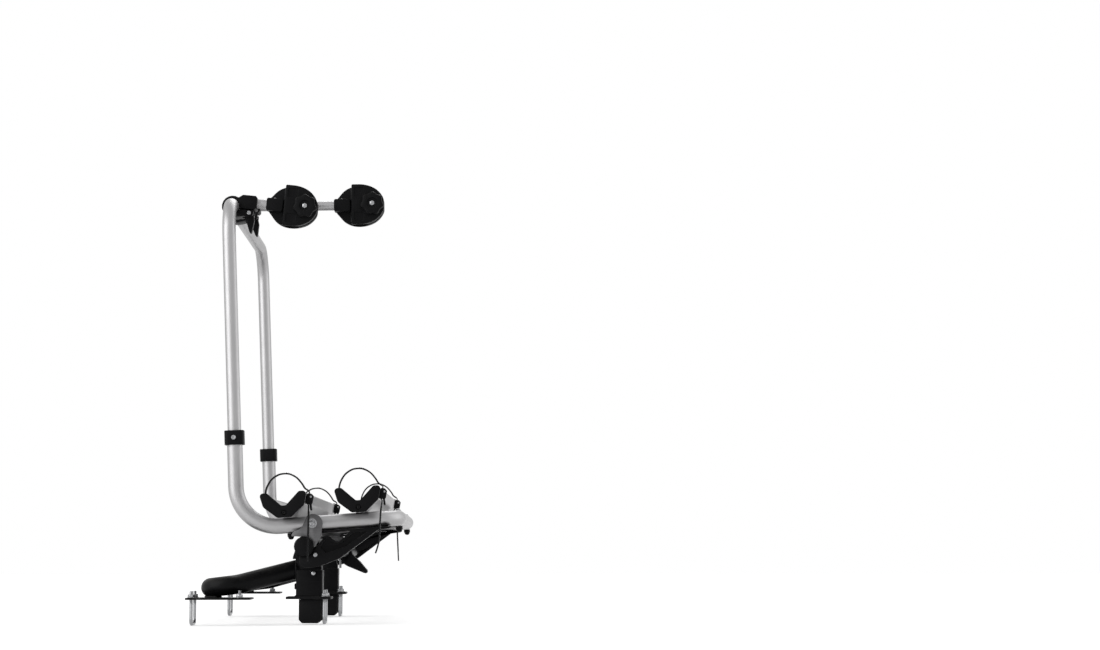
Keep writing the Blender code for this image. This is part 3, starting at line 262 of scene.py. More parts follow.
def group_coating():
    """Orange peel and cloudiness of a powder coat."""
    tree, given, result = new_group(
        "Coating", [("Scale", FLOAT, 420.0)], [("Height", FLOAT), ("Cloud", FLOAT)])
    point = object_point(tree)
    tree.links.new(noise(tree, point, given["Scale"], roughness=0.55), result["Height"])
    tree.links.new(clouds(tree, point, 9.0), result["Cloud"])
    return tree


def group_grain():
    """Fine spark-eroded grain of moulded plastic."""
    tree, given, result = new_group(
        "Moulded Grain", [("Scale", FLOAT, 1600.0)], [("Height", FLOAT), ("Cloud", FLOAT)])
    point = object_point(tree)
    fine = noise(tree, point, given["Scale"], detail=1.0)
    cells = add_node(tree, "ShaderNodeTexVoronoi", {"Vector": point, "Scale": given["Scale"]})
    height = added(tree, fine, multiplied(tree, cells.outputs["Distance"], 0.5))
    tree.links.new(height, result["Height"])
    tree.links.new(clouds(tree, point, 22.0), result["Cloud"])
    return tree


def group_drawn():
    """Fine lines left along a drawn tube or an extrusion, with soft cloudiness."""
    tree, given, result = new_group(
        "Drawn Lines", [("Stretch", VECTOR, (1.0, 0.02, 1.0)), ("Scale", FLOAT, 900.0)],
        [("Height", FLOAT), ("Lines", FLOAT), ("Cloud", FLOAT)])
    point = object_point(tree)
    stretched = add_node(tree, "ShaderNodeVectorMath", {0: point, 1: given["Stretch"]}, operation="MULTIPLY")
    lines = noise(tree, stretched.outputs[0], given["Scale"], roughness=0.6)
    tree.links.new(lines, result["Height"])
    tree.links.new(ramp(tree, lines, 0.3, 0.7), result["Lines"])
    tree.links.new(clouds(tree, point, 14.0), result["Cloud"])
    return tree


def put_out_mask(tree, shape, patches, given, result):
    """Feeds the group's mask with a shape broken up by patches and weakened by the amount."""
    mask = multiplied(tree, multiplied(tree, shape, patches), given["Amount"], True)
    tree.links.new(mask, result["Mask"])


def group_edge_wear():
    """Rubbed strip along sharp edges, broken up by noise."""
    tree, given, result = new_group(
        "Edge Wear", [("Width", FLOAT, 0.001), ("Amount", FLOAT, 0.5)], [("Mask", FLOAT)])
    soft = add_node(tree, "ShaderNodeBevel", {"Radius": given["Width"]}, samples=4)
    flat = add_node(tree, "ShaderNodeNewGeometry")
    meet = add_node(tree, "ShaderNodeVectorMath", {0: soft.outputs[0], 1: flat.outputs["Normal"]},
                    operation="DOT_PRODUCT")
    edge = ramp(tree, meet.outputs["Value"], 0.985, 0.90)
    patches = ramp(tree, noise(tree, object_point(tree), 45.0, detail=4.0, roughness=0.7), 0.42, 0.62)
    put_out_mask(tree, edge, patches, given, result)
    return tree


def group_scratches():
    """Short fine scratches that lie in two crossing directions."""
    tree, given, result = new_group(
        "Scratches", [("Scale", FLOAT, 60.0), ("Amount", FLOAT, 0.3)], [("Mask", FLOAT)])
    point = object_point(tree)
    lines = []
    for turn, stretch in (((0.4, 0.3, 0.2), (1.0, 0.06, 1.0)), ((1.1, 0.7, 2.1), (0.06, 1.0, 1.0))):
        mapped = add_node(
            tree, "ShaderNodeMapping", {"Vector": point, "Rotation": turn, "Scale": stretch})
        cells = add_node(
            tree, "ShaderNodeTexVoronoi", {"Vector": mapped.outputs[0], "Scale": given["Scale"]},
            feature="DISTANCE_TO_EDGE")
        lines.append(ramp(tree, cells.outputs["Distance"], 0.012, 0.0))
    patches = ramp(tree, noise(tree, point, 11.0), 0.52, 0.62)
    put_out_mask(tree, larger(tree, *lines), patches, given, result)
    return tree


def group_dust():
    """Dust on faces that look up, thicker in patches."""
    tree, given, result = new_group("Dust", [("Amount", FLOAT, 0.3)], [("Mask", FLOAT)])
    normal = add_node(tree, "ShaderNodeNewGeometry").outputs["Normal"]
    level = ramp(tree, add_node(tree, "ShaderNodeSeparateXYZ", {0: normal}).outputs["Z"], 0.25, 0.95)
    point = object_point(tree)
    patches = ramp(tree, noise(tree, point, 26.0, detail=5.0, roughness=0.65), 0.38, 0.72)
    grains = ramp(tree, noise(tree, point, 1400.0, detail=1.0), 0.35, 0.75, low=0.6)
    put_out_mask(tree, multiplied(tree, level, patches), grains, given, result)
    return tree


GROUPS = {}


def make_groups():
    GROUPS.update({
        "coating": group_coating(),
        "grain": group_grain(),
        "drawn": group_drawn(),
        "wear": group_edge_wear(),
        "scratches": group_scratches(),
        "dust": group_dust(),
    })


def use_group(tree, name, **values):
    made = tree.nodes.new("ShaderNodeGroup")
    made.node_tree = GROUPS[name]
    for label, value in values.items():
        made.inputs[label.replace("_", " ").title()].default_value = value
    return made.outputs


def start_material(name, colour, metallic=0.0, specular=0.5):
    """Returns a new material with its tree and its main shader."""
    material = bpy.data.materials.new(name)
    material.use_nodes = True
    material.diffuse_color = (*colour, 1.0)
    tree = material.node_tree
    shader = tree.nodes["Principled BSDF"]
    shader.inputs["Base Color"].default_value = (*colour, 1.0)
    shader.inputs["Metallic"].default_value = metallic
    shader.inputs["Specular IOR Level"].default_value = specular
    return material, tree, shader


def give_bump(tree, shader, height, strength, distance):
    made = add_node(tree, "ShaderNodeBump", {"Height": height, "Strength": strength, "Distance": distance})
    tree.links.new(made.outputs[0], shader.inputs["Normal"])


def give_roughness(tree, shader, cloud, low, high, dust=None, rise=0.0):
    """Lets the roughness follow a cloud, and rise where dust lies."""
    value = ramp(tree, cloud, 0.0, 1.0, low, high)
    if dust is not None:
        value = added(tree, value, multiplied(tree, dust, rise))
    tree.links.new(value, shader.inputs["Roughness"])


def shaded(colour, factor):
    return tuple(min(1.0, part * factor) for part in colour) + (1.0,)


def paint(tree, shader, colour, start, *layers):
    """Feeds the base colour; each layer has its mask, and a factor of the colour or another colour."""
    base = shaded(colour, start)
    for mask, over in layers:
        base = mixed(tree, mask, base, shaded(colour, over) if isinstance(over, float) else over)
    tree.links.new(base, shader.inputs["Base Color"])


DUST_COLOUR = (0.17, 0.155, 0.135, 1.0)
BARE_STEEL = (0.30, 0.295, 0.29, 1.0)
BLACK_SPECULAR = 0.08
STRAP_SPECULAR = 0.09


def powder_coat(settings):
    """Satin black coat with orange peel, bare steel on rubbed edges and a little dust."""
    colour = tuple(settings.steel_colour)
    material, tree, shader = start_material("carrier_powder_coat", colour, specular=BLACK_SPECULAR)
    coat = use_group(tree, "coating", scale=420.0)
    wear = use_group(tree, "wear", width=settings.edge_width, amount=settings.wear)["Mask"]
    dust = use_group(tree, "dust", amount=settings.dust * 0.5)["Mask"]
    scratch = use_group(tree, "scratches", scale=70.0, amount=0.35)["Mask"]
    paint(tree, shader, colour, 0.85, (coat["Cloud"], 1.35), (scratch, 4.0), (wear, BARE_STEEL),
          (dust, DUST_COLOUR))
    give_roughness(tree, shader, coat["Cloud"], low=0.36, high=0.47, dust=dust, rise=0.4)
    tree.links.new(multiplied(tree, wear, 0.8), shader.inputs["Metallic"])
    give_bump(tree, shader, coat["Height"], strength=0.35, distance=0.0003)
    return material


def anodised(settings, name, stretch):
    """Satin anodised aluminium with fine lines along the tube or rail."""
    colour = tuple(settings.aluminium_colour)
    material, tree, shader = start_material(name, colour, metallic=1.0)
    drawn = use_group(tree, "drawn", stretch=stretch, scale=800.0)
    scratch = use_group(tree, "scratches", scale=45.0, amount=0.3)["Mask"]
    dust = use_group(tree, "dust", amount=settings.dust * 0.12)["Mask"]
    paint(tree, shader, colour, 0.97, (drawn["Lines"], 1.03), (drawn["Cloud"], 0.97), (scratch, 0.78),
          (dust, DUST_COLOUR))
    give_roughness(tree, shader, drawn["Cloud"], low=0.42, high=0.47, dust=dust, rise=0.5)
    give_bump(tree, shader, drawn["Height"], strength=0.03, distance=0.00003)
    return material


def plate_metal(settings):
    """Dull grey plate with lines from rolling and rubbed edges."""
    colour = tuple(settings.plate_colour)
    material, tree, shader = start_material("carrier_plate", colour, metallic=0.75)
    drawn = use_group(tree, "drawn", stretch=(0.05, 1.0, 1.0), scale=700.0)
    wear = use_group(tree, "wear", width=settings.edge_width, amount=settings.wear * 0.8)["Mask"]
    scratch = use_group(tree, "scratches", scale=80.0, amount=0.4)["Mask"]
    paint(tree, shader, colour, 0.92, (drawn["Lines"], 1.1), (scratch, 1.5), (wear, 2.0))
    give_roughness(tree, shader, drawn["Cloud"], low=0.42, high=0.56)
    give_bump(tree, shader, drawn["Height"], strength=0.15, distance=0.0001)
    return material


def zinc(settings):
    """Bright zinc plate with a faint cloud and fine scratches."""
    colour = tuple(settings.zinc_colour)
    material, tree, shader = start_material("carrier_zinc", colour, metallic=1.0)
    drawn = use_group(tree, "drawn", stretch=(1.0, 1.0, 0.1), scale=900.0)
    scratch = use_group(tree, "scratches", scale=150.0, amount=0.5)["Mask"]
    paint(tree, shader, colour, 0.88, (drawn["Cloud"], 1.05), (scratch, 0.7))
    give_roughness(tree, shader, drawn["Lines"], low=0.2, high=0.34)
    give_bump(tree, shader, drawn["Height"], strength=0.12, distance=0.00008)
    return material


def moulded_plastic(settings):
    """Matt black plastic with a fine grain, paler on rubbed edges."""
    colour = tuple(settings.plastic_colour)
    material, tree, shader = start_material("carrier_plastic", colour, specular=BLACK_SPECULAR)
    grain = use_group(tree, "grain", scale=1500.0)
    wear = use_group(tree, "wear", width=settings.edge_width, amount=settings.wear)["Mask"]
    dust = use_group(tree, "dust", amount=settings.dust * 0.6)["Mask"]
    paint(tree, shader, colour, 0.85, (grain["Cloud"], 1.4), (wear, 6.0), (dust, DUST_COLOUR))
    give_roughness(tree, shader, grain["Cloud"], low=0.44, high=0.56, dust=dust, rise=0.3)
    give_bump(tree, shader, grain["Height"], strength=0.3, distance=0.00015)
    return material


def strap_plastic(settings):
    """Softer black plastic of the toothed straps."""
    colour = tuple(settings.strap_colour)
    material, tree, shader = start_material("carrier_strap", colour, specular=STRAP_SPECULAR)
    grain = use_group(tree, "grain", scale=2200.0)
    scratch = use_group(tree, "scratches", scale=160.0, amount=0.5)["Mask"]
    paint(tree, shader, colour, 0.8, (grain["Cloud"], 1.5), (scratch, 4.0))
    give_roughness(tree, shader, grain["Cloud"], low=0.38, high=0.52)
    give_bump(tree, shader, grain["Height"], strength=0.2, distance=0.0001)
    return material


MATERIALS = {}


def make_materials(settings):
    MATERIALS.update({
        "black_powder_coat": powder_coat(settings),
        "anodised_tube": anodised(settings, "carrier_anodised_tube", (1.0, 1.0, 0.02)),
        "anodised_rail": anodised(settings, "carrier_anodised_rail", (1.0, 0.02, 1.0)),
        "silver_plate": plate_metal(settings),
        "zinc_plate": zinc(settings),
        "black_plastic": moulded_plastic(settings),
        "strap": strap_plastic(settings),
    })


def finish_of(node):
    """Returns the name of the finish of a carried-over node."""
    slot = SLOTS[node]
    if slot == "anodised_aluminium":
        return "anodised_rail" if "rail" in node or node == "lower_frame" else "anodised_tube"
    return "strap" if slot == "strap_plastic" else slot


class CARRIER_OT_finishes(bpy.types.Operator):
    """Give every carried-over node its finish"""
    bl_idname = "carrier.finishes"
    bl_label = "Finishes"

    def execute(self, context):
        make_groups()
        make_materials(context.scene.carrier_finish)
        for name, thing in frame["nodes"].items():
            finish = MATERIALS[finish_of(name)]
            if not thing.data.materials:
                thing.data.materials.append(finish)
            for place in thing.material_slots:
                place.link = "OBJECT"
                place.material = finish
        return {"FINISHED"}


# Mesh tools

MERGE_DISTANCE = 0.00001
TUBE_SIDES = 48


def add_piece(name, bm, finish, body, angle=35.0, replaced=()):
    """Links a mesh as a piece that rides on a body, and hides the nodes that it stands for."""
    bmesh.ops.recalc_face_normals(bm, faces=bm.faces)
    mesh = bpy.data.meshes.new(name)
    bm.to_mesh(mesh)
    bm.free()
    mesh.materials.append(MATERIALS[finish])
    mesh.shade_smooth()
    mesh.set_sharp_from_angle(angle=math.radians(angle))
    piece = bpy.data.objects.new(name, mesh)
    bpy.context.collection.objects.link(piece)
    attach(piece, body)
    if replaced:
        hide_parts(*replaced)


def full_turn(count):
    """Returns angles at even steps round a circle."""
    return [2.0 * math.pi * k / count for k in range(count)]


def polar(size, angle, height):
    return size * math.cos(angle), size * math.sin(angle), height


def loft(bm, rows, closed=False):
    """Adds a skin through rings of equally many points, its ends closed or joined to each other."""
    rings = [[bm.verts.new(point) for point in row] for row in rows]
    pairs = list(zip(rings, rings[1:]))
    if closed:
        pairs.append((rings[-1], rings[0]))
    for low, high in pairs:
        for k in range(len(low)):
            bm.faces.new((low[k - 1], low[k], high[k], high[k - 1]))
    if not closed:
        bm.faces.new(rings[0])
        bm.faces.new(rings[-1])


def rounded_ring(corners, steps=5):
    """Returns a closed outline; each corner is given with the radius that rounds it."""
    points = [Vector((x, z, 0.0)) for x, z, _ in corners]
    start = (points[0] + points[-1]) * 0.5
    line = bent_path([start] + points + [start], [radius for _, _, radius in corners], steps)
    return [(point.x, point.y) for point in line[:-1]]


def smooth_ring(points, steps):
    """Returns a closed curve through the points."""
    count = len(points)
    again = [Vector((*points[i % count], 0.0)) for i in range(-2, count + 3)]
    line = smooth_line(again, steps)[2 * steps:(2 + count) * steps]
    return [(point.x, point.y) for point in line]


def inset(outline, depth):
    """Moves each point of a closed outline inwards."""
    count = len(outline)
    area = sum(outline[i - 1][0] * outline[i][1] - outline[i][0] * outline[i - 1][1]
               for i in range(count))
    sign = 1.0 if area > 0.0 else -1.0
    moved = []
    for i, (x, z) in enumerate(outline):
        before = Vector(outline[i]) - Vector(outline[i - 1])
        after = Vector(outline[(i + 1) % count]) - Vector(outline[i])
        run = (before.normalized() + after.normalized()).normalized()
        moved.append((x - run.y * depth * sign, z + run.x * depth * sign))
    return moved


def slab(bm, outline, start, end, edge, place):
    """Adds a plate between two distances along Y with rounded rims; place makes a point of X, Y and Z."""
    rows = []
    for k in range(4):
        angle = math.radians(30.0 * k)
        depth = edge * (1.0 - math.sin(angle))
        rows.append((inset(outline, depth), start + edge * (1.0 - math.cos(angle))))
    rows += [(ring, start + end - y) for ring, y in reversed(rows)]
    loft(bm, [[place(x, y, z) for x, z in ring] for ring, y in rows])


def carved(bm, cutter):
    """Returns a mesh with another closed mesh cut out of it."""
    things = []
    for source in (bm, cutter):
        bmesh.ops.recalc_face_normals(source, faces=source.faces)
        mesh = bpy.data.meshes.new("carving")
        source.to_mesh(mesh)
        source.free()
        thing = bpy.data.objects.new("carving", mesh)
        bpy.context.collection.objects.link(thing)
        things.append(thing)
    change = things[0].modifiers.new("cut", "BOOLEAN")
    change.operation = "DIFFERENCE"
    change.solver = "EXACT"
    change.object = things[1]
    result = bmesh.new()
    result.from_object(things[0], bpy.context.evaluated_depsgraph_get())
    for thing in things:
        mesh = thing.data
        bpy.data.objects.remove(thing)
        bpy.data.meshes.remove(mesh)
    bmesh.ops.remove_doubles(result, verts=result.verts, dist=MERGE_DISTANCE)
    return result


def path_frames(line, closed=False):
    """Returns two directions across the line at each point, turning as little as possible."""
    count = len(line)
    tangents = []
    for i, here in enumerate(line):
        back = here - line[i - 1] if closed or i else Vector()
        ahead = line[(i + 1) % count] - here if closed or i < count - 1 else Vector()
        tangents.append((back.normalized() + ahead.normalized()).normalized())
    side = tangents[0].orthogonal().normalized()
    frames = []
    for i, tangent in enumerate(tangents):
        if i:
            side = tangents[i - 1].rotation_difference(tangent) @ side
            side = (side - tangent * side.dot(tangent)).normalized()
        frames.append((side, tangent.cross(side)))
    return frames


def round_bar(bm, line, radius, segments=32, closed=False):
    """Adds a round bar along a line; the radius is one value or one for each point."""
    sizes = radius if isinstance(radius, list) else [radius] * len(line)
    rows = []
    for centre, (across, up), size in zip(line, path_frames(line, closed), sizes):
        rows.append([centre + across * size * math.cos(angle) + up * size * math.sin(angle)
                     for angle in full_turn(segments)])
    loft(bm, rows, closed)


def bent_path(points, radii, steps=20):
    """Returns the centre line through the points with each inner corner rounded."""
    line = [Vector(points[0])]
    for i in range(1, len(points) - 1):
        corner = Vector(points[i])
        back = (Vector(points[i - 1]) - corner).normalized()
        ahead = (Vector(points[i + 1]) - corner).normalized()
        half = back.angle(ahead) * 0.5
        reach = radii[i - 1] / math.tan(half)
        centre = corner + (back + ahead).normalized() * radii[i - 1] / math.sin(half)
        first = corner + back * reach - centre
        last = corner + ahead * reach - centre
        turn = first.angle(last)
        for k in range(steps + 1):
            t = k / steps
            spot = first * math.sin((1.0 - t) * turn) + last * math.sin(t * turn)
            line.append(centre + spot / math.sin(turn))
    line.append(Vector(points[-1]))
    return line


def resample(line, step, closed=False):
    """Returns points at even distances along a line."""
    ends = list(line) + ([line[0]] if closed else [])
    found = [Vector(ends[0])]
    left = step
    for start, end in zip(ends, ends[1:]):
        run = Vector(end) - Vector(start)
        length = run.length
        done = 0.0
        while length - done >= left:
            done += left
            found.append(Vector(start) + run * (done / length))
            left = step
        left -= length - done
    if closed:
        found.pop()
    return found


def smooth_line(points, steps):
    """Returns a Catmull-Rom curve through the points."""
    line = []
    for i in range(len(points) - 1):
        before = Vector(points[max(i - 1, 0)])
        start = Vector(points[i])
        end = Vector(points[i + 1])
        after = Vector(points[min(i + 2, len(points) - 1)])
        for k in range(steps):
            t = k / steps
            point = 2.0 * start + (end - before) * t
            point += (2.0 * before - 5.0 * start + 4.0 * end - after) * t * t
            point += (3.0 * start - before - 3.0 * end + after) * t * t * t
            line.append(point * 0.5)
    line.append(Vector(points[-1]))
    return line


# Hardware, made of rings of RING points round the Z axis

RING = 36
WASHER_EDGE = 0.0003


def round_row(radius, height):
    return [polar(radius, angle, height) for angle in full_turn(RING)]


def hexagon_row(flat, limit, height):
    """Returns a ring on a hexagon whose flats lie a distance from the axis, cut back to a circle."""
    row = []
    for angle in full_turn(RING):
        turned = angle % (math.pi / 3.0) - math.pi / 6.0
        row.append(polar(min(flat / math.cos(turned), limit), angle, height))
    return row


def washer_rows(radius, low, high):
    return [round_row(radius - WASHER_EDGE, low), round_row(radius, low + WASHER_EDGE),
            round_row(radius, high - WASHER_EDGE), round_row(radius - WASHER_EDGE, high)]


def hexagon_rows(flat, low, high):
    """Rings of a nut or a hexagon head with both ends chamfered."""
    edge = flat * 0.16
    rims = ((0.0, 0.97), (edge * 0.4, 1.07), (edge, 1.2))
    rows = [hexagon_row(flat, flat * limit, low + rise) for rise, limit in rims]
    return rows + [hexagon_row(flat, flat * limit, high - rise) for rise, limit in reversed(rims)]


def button_rows(radius, height):
    """Rings of a domed head with a hexagon socket."""
    rows = [round_row(radius * 0.97, 0.0), round_row(radius, height * 0.12)]
    for t in (0.35, 0.6, 0.8, 0.93, 1.0):
        rows.append(round_row(radius * (0.52 + 0.48 * math.sqrt(1.0 - t * t * 0.98)), height * t))
    flat = radius * 0.42
    rows.append(hexagon_row(flat, radius * 0.5, height))
    rows.append(hexagon_row(flat * 0.97, radius * 0.48, height * 0.35))
    rows.append(round_row(radius * 0.2, height * 0.35))
    return rows


def socket_rows(radius, height):
    """Rings of a cylinder head with a hexagon socket."""
    edge = radius * 0.1
    flat = radius * 0.5
    floor = height * 0.4
    return [round_row(radius - edge, 0.0), round_row(radius, edge), round_row(radius, height - edge),
            round_row(radius - edge, height), round_row(radius * 0.66, height),
            hexagon_row(flat, radius * 0.58, height - edge * 0.4),
            hexagon_row(flat * 0.97, radius * 0.56, floor), round_row(radius * 0.25, floor)]


def thread_rows(radius, low, high, pitch=0.00125):
    """Rings of a threaded end with a chamfered tip."""
    rows = []
    for i in range(int((high - low) / pitch)):
        start = low + i * pitch
        rows += [round_row(radius * 0.88, start), round_row(radius, start + pitch * 0.4),
                 round_row(radius, start + pitch * 0.6)]
    rows.append(round_row(radius * 0.78, high))
    return rows


def put(bm, rows, point, direction, turn=0.0):
    """Adds rings as a solid that stands on a point and looks along a direction."""
    swing = Vector(direction).to_track_quat("Z", "X").to_matrix() @ Matrix.Rotation(turn, 3, "Z")
    loft(bm, [[Vector(point) + swing @ Vector(corner) for corner in row] for row in rows])


def put_screw(bm, seat, direction, washer, head):
    """Adds a domed screw on its washer, each given by its radius and height."""
    radius, height = washer
    put(bm, washer_rows(radius, 0.0, height), seat, direction)
    put(bm, button_rows(*head), seat + direction * height, direction)


NUT_WASHER_HEIGHT = 0.0012


def put_nut(bm, seat, washer_radius, flat, top, turn):
    """Adds an upright nut on its washer."""
    put(bm, washer_rows(washer_radius, 0.0, NUT_WASHER_HEIGHT), seat, UP)
    put(bm, hexagon_rows(flat, NUT_WASHER_HEIGHT, top), seat, UP, turn)


# Lines of the design

PLATFORM_POINT = (0.052, 0.156)
LEG_POINT = (-0.1435, 0.2435)
GAP = 0.0003
FRAME_RADIUS = 0.016
FRAME_HALF_WIDTH = 0.415
FRONT_X = 0.1915
COLLAR_HEIGHT = 0.331
POST_Y = 0.305
ARM_Y = FRAME_HALF_WIDTH + 0.0005
ARM_HALF_WIDTH = 0.013
ARM_INNER_Y = ARM_Y - ARM_HALF_WIDTH
PIVOT_PLATE_THICKNESS = 0.004
TILT_TUBE_HALF_LENGTH = FRAME_HALF_WIDTH + FRAME_RADIUS + GAP + PIVOT_PLATE_THICKNESS
CROSS_TUBE_X = 0.062
CROSS_TUBE_HEIGHT = 0.096
RAIL_POSITIONS = {"inner": -0.0296, "outer": 0.1194}
RAIL_HALF_LENGTH = 0.564


def platform_height(x):
    return PLATFORM_POINT[1] + math.tan(PLATFORM_TILT) * (x - PLATFORM_POINT[0])


def leg_x(height):
    return LEG_POINT[0] - math.tan(LEG_LEAN) * (height - LEG_POINT[1])


def leg_corner():
    """Returns X and Z at which the leg line meets the platform line."""
    lean = math.tan(LEG_LEAN)
    height = platform_height(LEG_POINT[0] + lean * LEG_POINT[1]) / (1.0 + math.tan(PLATFORM_TILT) * lean)
    return leg_x(height), height


def rail_point(rail, y, along, up):
    """Returns a point given along and square to the platform from the middle of a rail's underside."""
    lift = FRAME_RADIUS + GAP + up
    position = RAIL_POSITIONS[rail]
    x = position + along * math.cos(PLATFORM_TILT) - lift * math.sin(PLATFORM_TILT)
    z = platform_height(position) + along * math.sin(PLATFORM_TILT) + lift * math.cos(PLATFORM_TILT)
    return design(x, y, z)


RAIL_UP = Vector((-math.sin(PLATFORM_TILT), 0.0, math.cos(PLATFORM_TILT)))


# Tubes

HOOP_RADIUS = 0.014
BASE_RADIUS = 0.020
TILT_TUBE_RADIUS = 0.020
CROSS_TUBE_RADIUS = 0.011
ARM_TUBE_RADIUS = 0.010
ARM_TUBE_START = 0.0258
ARM_TUBE_BEYOND_REACH = 0.0217
HOOP_FOOT = 0.236
HOOP_TOP = 0.831
ELBOW_BEND = 0.085
FRONT_BEND = 0.060
HOOP_BEND = 0.080
BASE_POINTS = [(-0.0190, POST_Y, 0.0600), (-0.140, 0.3664, 0.0283), (-0.199, 0.405, 0.0213)]
BASE_BENDS = [0.12, 0.032]


def mirrored_line(half, bends):
    """Returns the bent centre line through points of the right half and of its mirror image."""
    points = [design(x, -y, z) for x, y, z in half] + [design(x, y, z) for x, y, z in reversed(half)]
    return bent_path(points, bends + bends[::-1])


def base_line():
    return mirrored_line(BASE_POINTS, BASE_BENDS)


def frame_line():
    corner_x, corner_height = leg_corner()
    leg_top = COLLAR_HEIGHT - GAP
    half = [(leg_x(leg_top), FRAME_HALF_WIDTH, leg_top), (corner_x, FRAME_HALF_WIDTH, corner_height),
            (FRONT_X, FRAME_HALF_WIDTH, platform_height(FRONT_X))]
    return mirrored_line(half, [ELBOW_BEND, FRONT_BEND])


def hoop_line():
    half = [(leg_x(height), FRAME_HALF_WIDTH, height) for height in (HOOP_FOOT, HOOP_TOP)]
    return mirrored_line(half, [HOOP_BEND])


def cross_line(x, half_length, height):
    return [design(x, y, height) for y in (-half_length, half_length)]


def add_tube(name, line, radius, finish, body, node):
    """Adds a smooth round tube that stands for a carried-over node."""
    bm = bmesh.new()
    round_bar(bm, line, radius, TUBE_SIDES)
    add_piece(name, bm, finish, body, replaced=[node])


class CARRIER_OT_tubes(bpy.types.Operator):
    """Draw the bent and the straight tubes with smooth walls"""
    bl_idname = "carrier.tubes"
    bl_label = "Tubes"

    def execute(self, context):
        black = "black_powder_coat"
        silver = "anodised_tube"
        add_tube("lower_frame_tube", frame_line(), FRAME_RADIUS, silver, "tilt_frame", "lower_frame")
        add_tube("upper_hoop_tube", hoop_line(), HOOP_RADIUS, silver, "hoop", "upper_hoop")
        add_tube("base_frame_tube", base_line(), BASE_RADIUS, black, "base", "base_tube")
        line = cross_line(0.0, TILT_TUBE_HALF_LENGTH, PIVOT_HEIGHT)
        add_tube("round_tilt_tube", line, TILT_TUBE_RADIUS, black, "tilt_frame", "tilt_tube")
        line = cross_line(CROSS_TUBE_X, ARM_INNER_Y - GAP, CROSS_TUBE_HEIGHT)
        add_tube("round_arm_cross_tube", line, CROSS_TUBE_RADIUS, black, "tilt_frame", "arm_cross_tube")
        for name, (_, reach) in HOLDERS.items():
            ends = (ARM_TUBE_START, reach + ARM_TUBE_BEYOND_REACH)
            line = [holder_space(name, along) @ Vector() for along in ends]
            add_tube("round_arm_tube_" + name, line, ARM_TUBE_RADIUS, silver, "holder_" + name,
                     "arm_tube_" + name)
        return {"FINISHED"}


# Plates and moulded parts with soft edges

SOFTENED = ("post_", "clamp_plate_", "clamp_foot_", "side_arm_", "pivot_plate_", "tube_cap_", "pedal_lever",
            "rail_inner_nut_", "front_nut_", "buckle_", "hoop_clamp_", "clamp_lever_")
FLAT_ANGLE = math.radians(1.0)
SHARP_ANGLE = math.radians(30.0)


def softened(node, edge):
    """Returns a copy of a carried-over mesh, joined up and with its sharp edges rounded."""
    bm = bmesh.new()
    bm.from_mesh(node.data)
    bmesh.ops.remove_doubles(bm, verts=bm.verts, dist=MERGE_DISTANCE)
    bmesh.ops.dissolve_limit(bm, angle_limit=FLAT_ANGLE, verts=bm.verts, edges=bm.edges)
    sharp = [line for line in bm.edges
             if len(line.link_faces) == 2 and line.calc_face_angle() > SHARP_ANGLE]
    bmesh.ops.bevel(bm, geom=sharp, offset=edge, offset_type="OFFSET", segments=2, profile=0.5,
                    affect="EDGES", clamp_overlap=True)
    return bm


class CARRIER_OT_soft_edges(bpy.types.Operator):
    """Round the edges of the plates and the moulded parts"""
    bl_idname = "carrier.soft_edges"
    bl_label = "Soft edges"

    def execute(self, context):
        for name, node in frame["nodes"].items():
            if name.startswith(SOFTENED):
                bm = softened(node, context.scene.carrier_detail.soft_edge)
                body = node.parent.name.split(":")[1]
                add_piece("soft_" + name, bm, finish_of(name), body, replaced=[name])
        return {"FINISHED"}


COLLAR_HALF_WIDTH = 0.020
COLLAR_HALF_HEIGHT = 0.015
COLLAR_CORNER = 0.009


def box_corners(left, right, low, high, radius):
    return [(left, low, radius), (right, low, radius), (right, high, radius), (left, high, radius)]


class CARRIER_OT_collars(bpy.types.Operator):
    """Make the collars that join the hoop to the lower frame"""
    bl_idname = "carrier.collars"
    bl_label = "Collars"

    def execute(self, context):
        half = COLLAR_HALF_WIDTH
        outline = rounded_ring(box_corners(-half, half, -half, half, COLLAR_CORNER), 8)
        edge = context.scene.carrier_detail.soft_edge * 1.5
        lean = Matrix.Rotation(-LEG_LEAN, 3, "Y")
        for side, sign in SIDES.items():
            centre = design(leg_x(COLLAR_HEIGHT), sign * FRAME_HALF_WIDTH, COLLAR_HEIGHT)
            bm = bmesh.new()
            slab(bm, outline, -COLLAR_HALF_HEIGHT, COLLAR_HALF_HEIGHT, edge,
                 lambda x, y, z, centre=centre: centre + lean @ Vector((x, z, y)))
            add_piece("rounded_collar_" + side, bm, "black_plastic", "tilt_frame",
                      replaced=["collar_" + side])
        return {"FINISHED"}


# Welds

WELD_STEP = 0.0006
WELD_RIPPLE = 0.0032


def weld(bm, line, radius, closed=False):
    """Adds a bead along a line; its radius follows ripples that are not quite even."""
    points = resample(line, WELD_STEP, closed)
    sizes = []
    for i in range(len(points)):
        ripple = abs(math.sin(math.pi * i * WELD_STEP / WELD_RIPPLE + 0.6 * math.sin(i * 0.037)))
        sizes.append(radius * (0.84 + 0.2 * ripple + 0.05 * math.sin(i * 0.083)))
    round_bar(bm, points, sizes, 10, closed)


def ring_line(centre, normal, radius, start=0.0, end=360.0, steps=48):
    """Returns a circle or an arc square to a direction, from +X, or from +Y where that runs along X."""
    first = Vector((1.0, 0.0, 0.0)) if abs(normal[0]) < 0.9 else Vector((0.0, 1.0, 0.0))
    second = Vector(normal).cross(first)
    points = []
    for i in range(steps + (end - start < 360.0)):
        angle = math.radians(start + (end - start) * i / steps)
        points.append(Vector(centre) + first * radius * math.cos(angle) + second * radius * math.sin(angle))
    return points


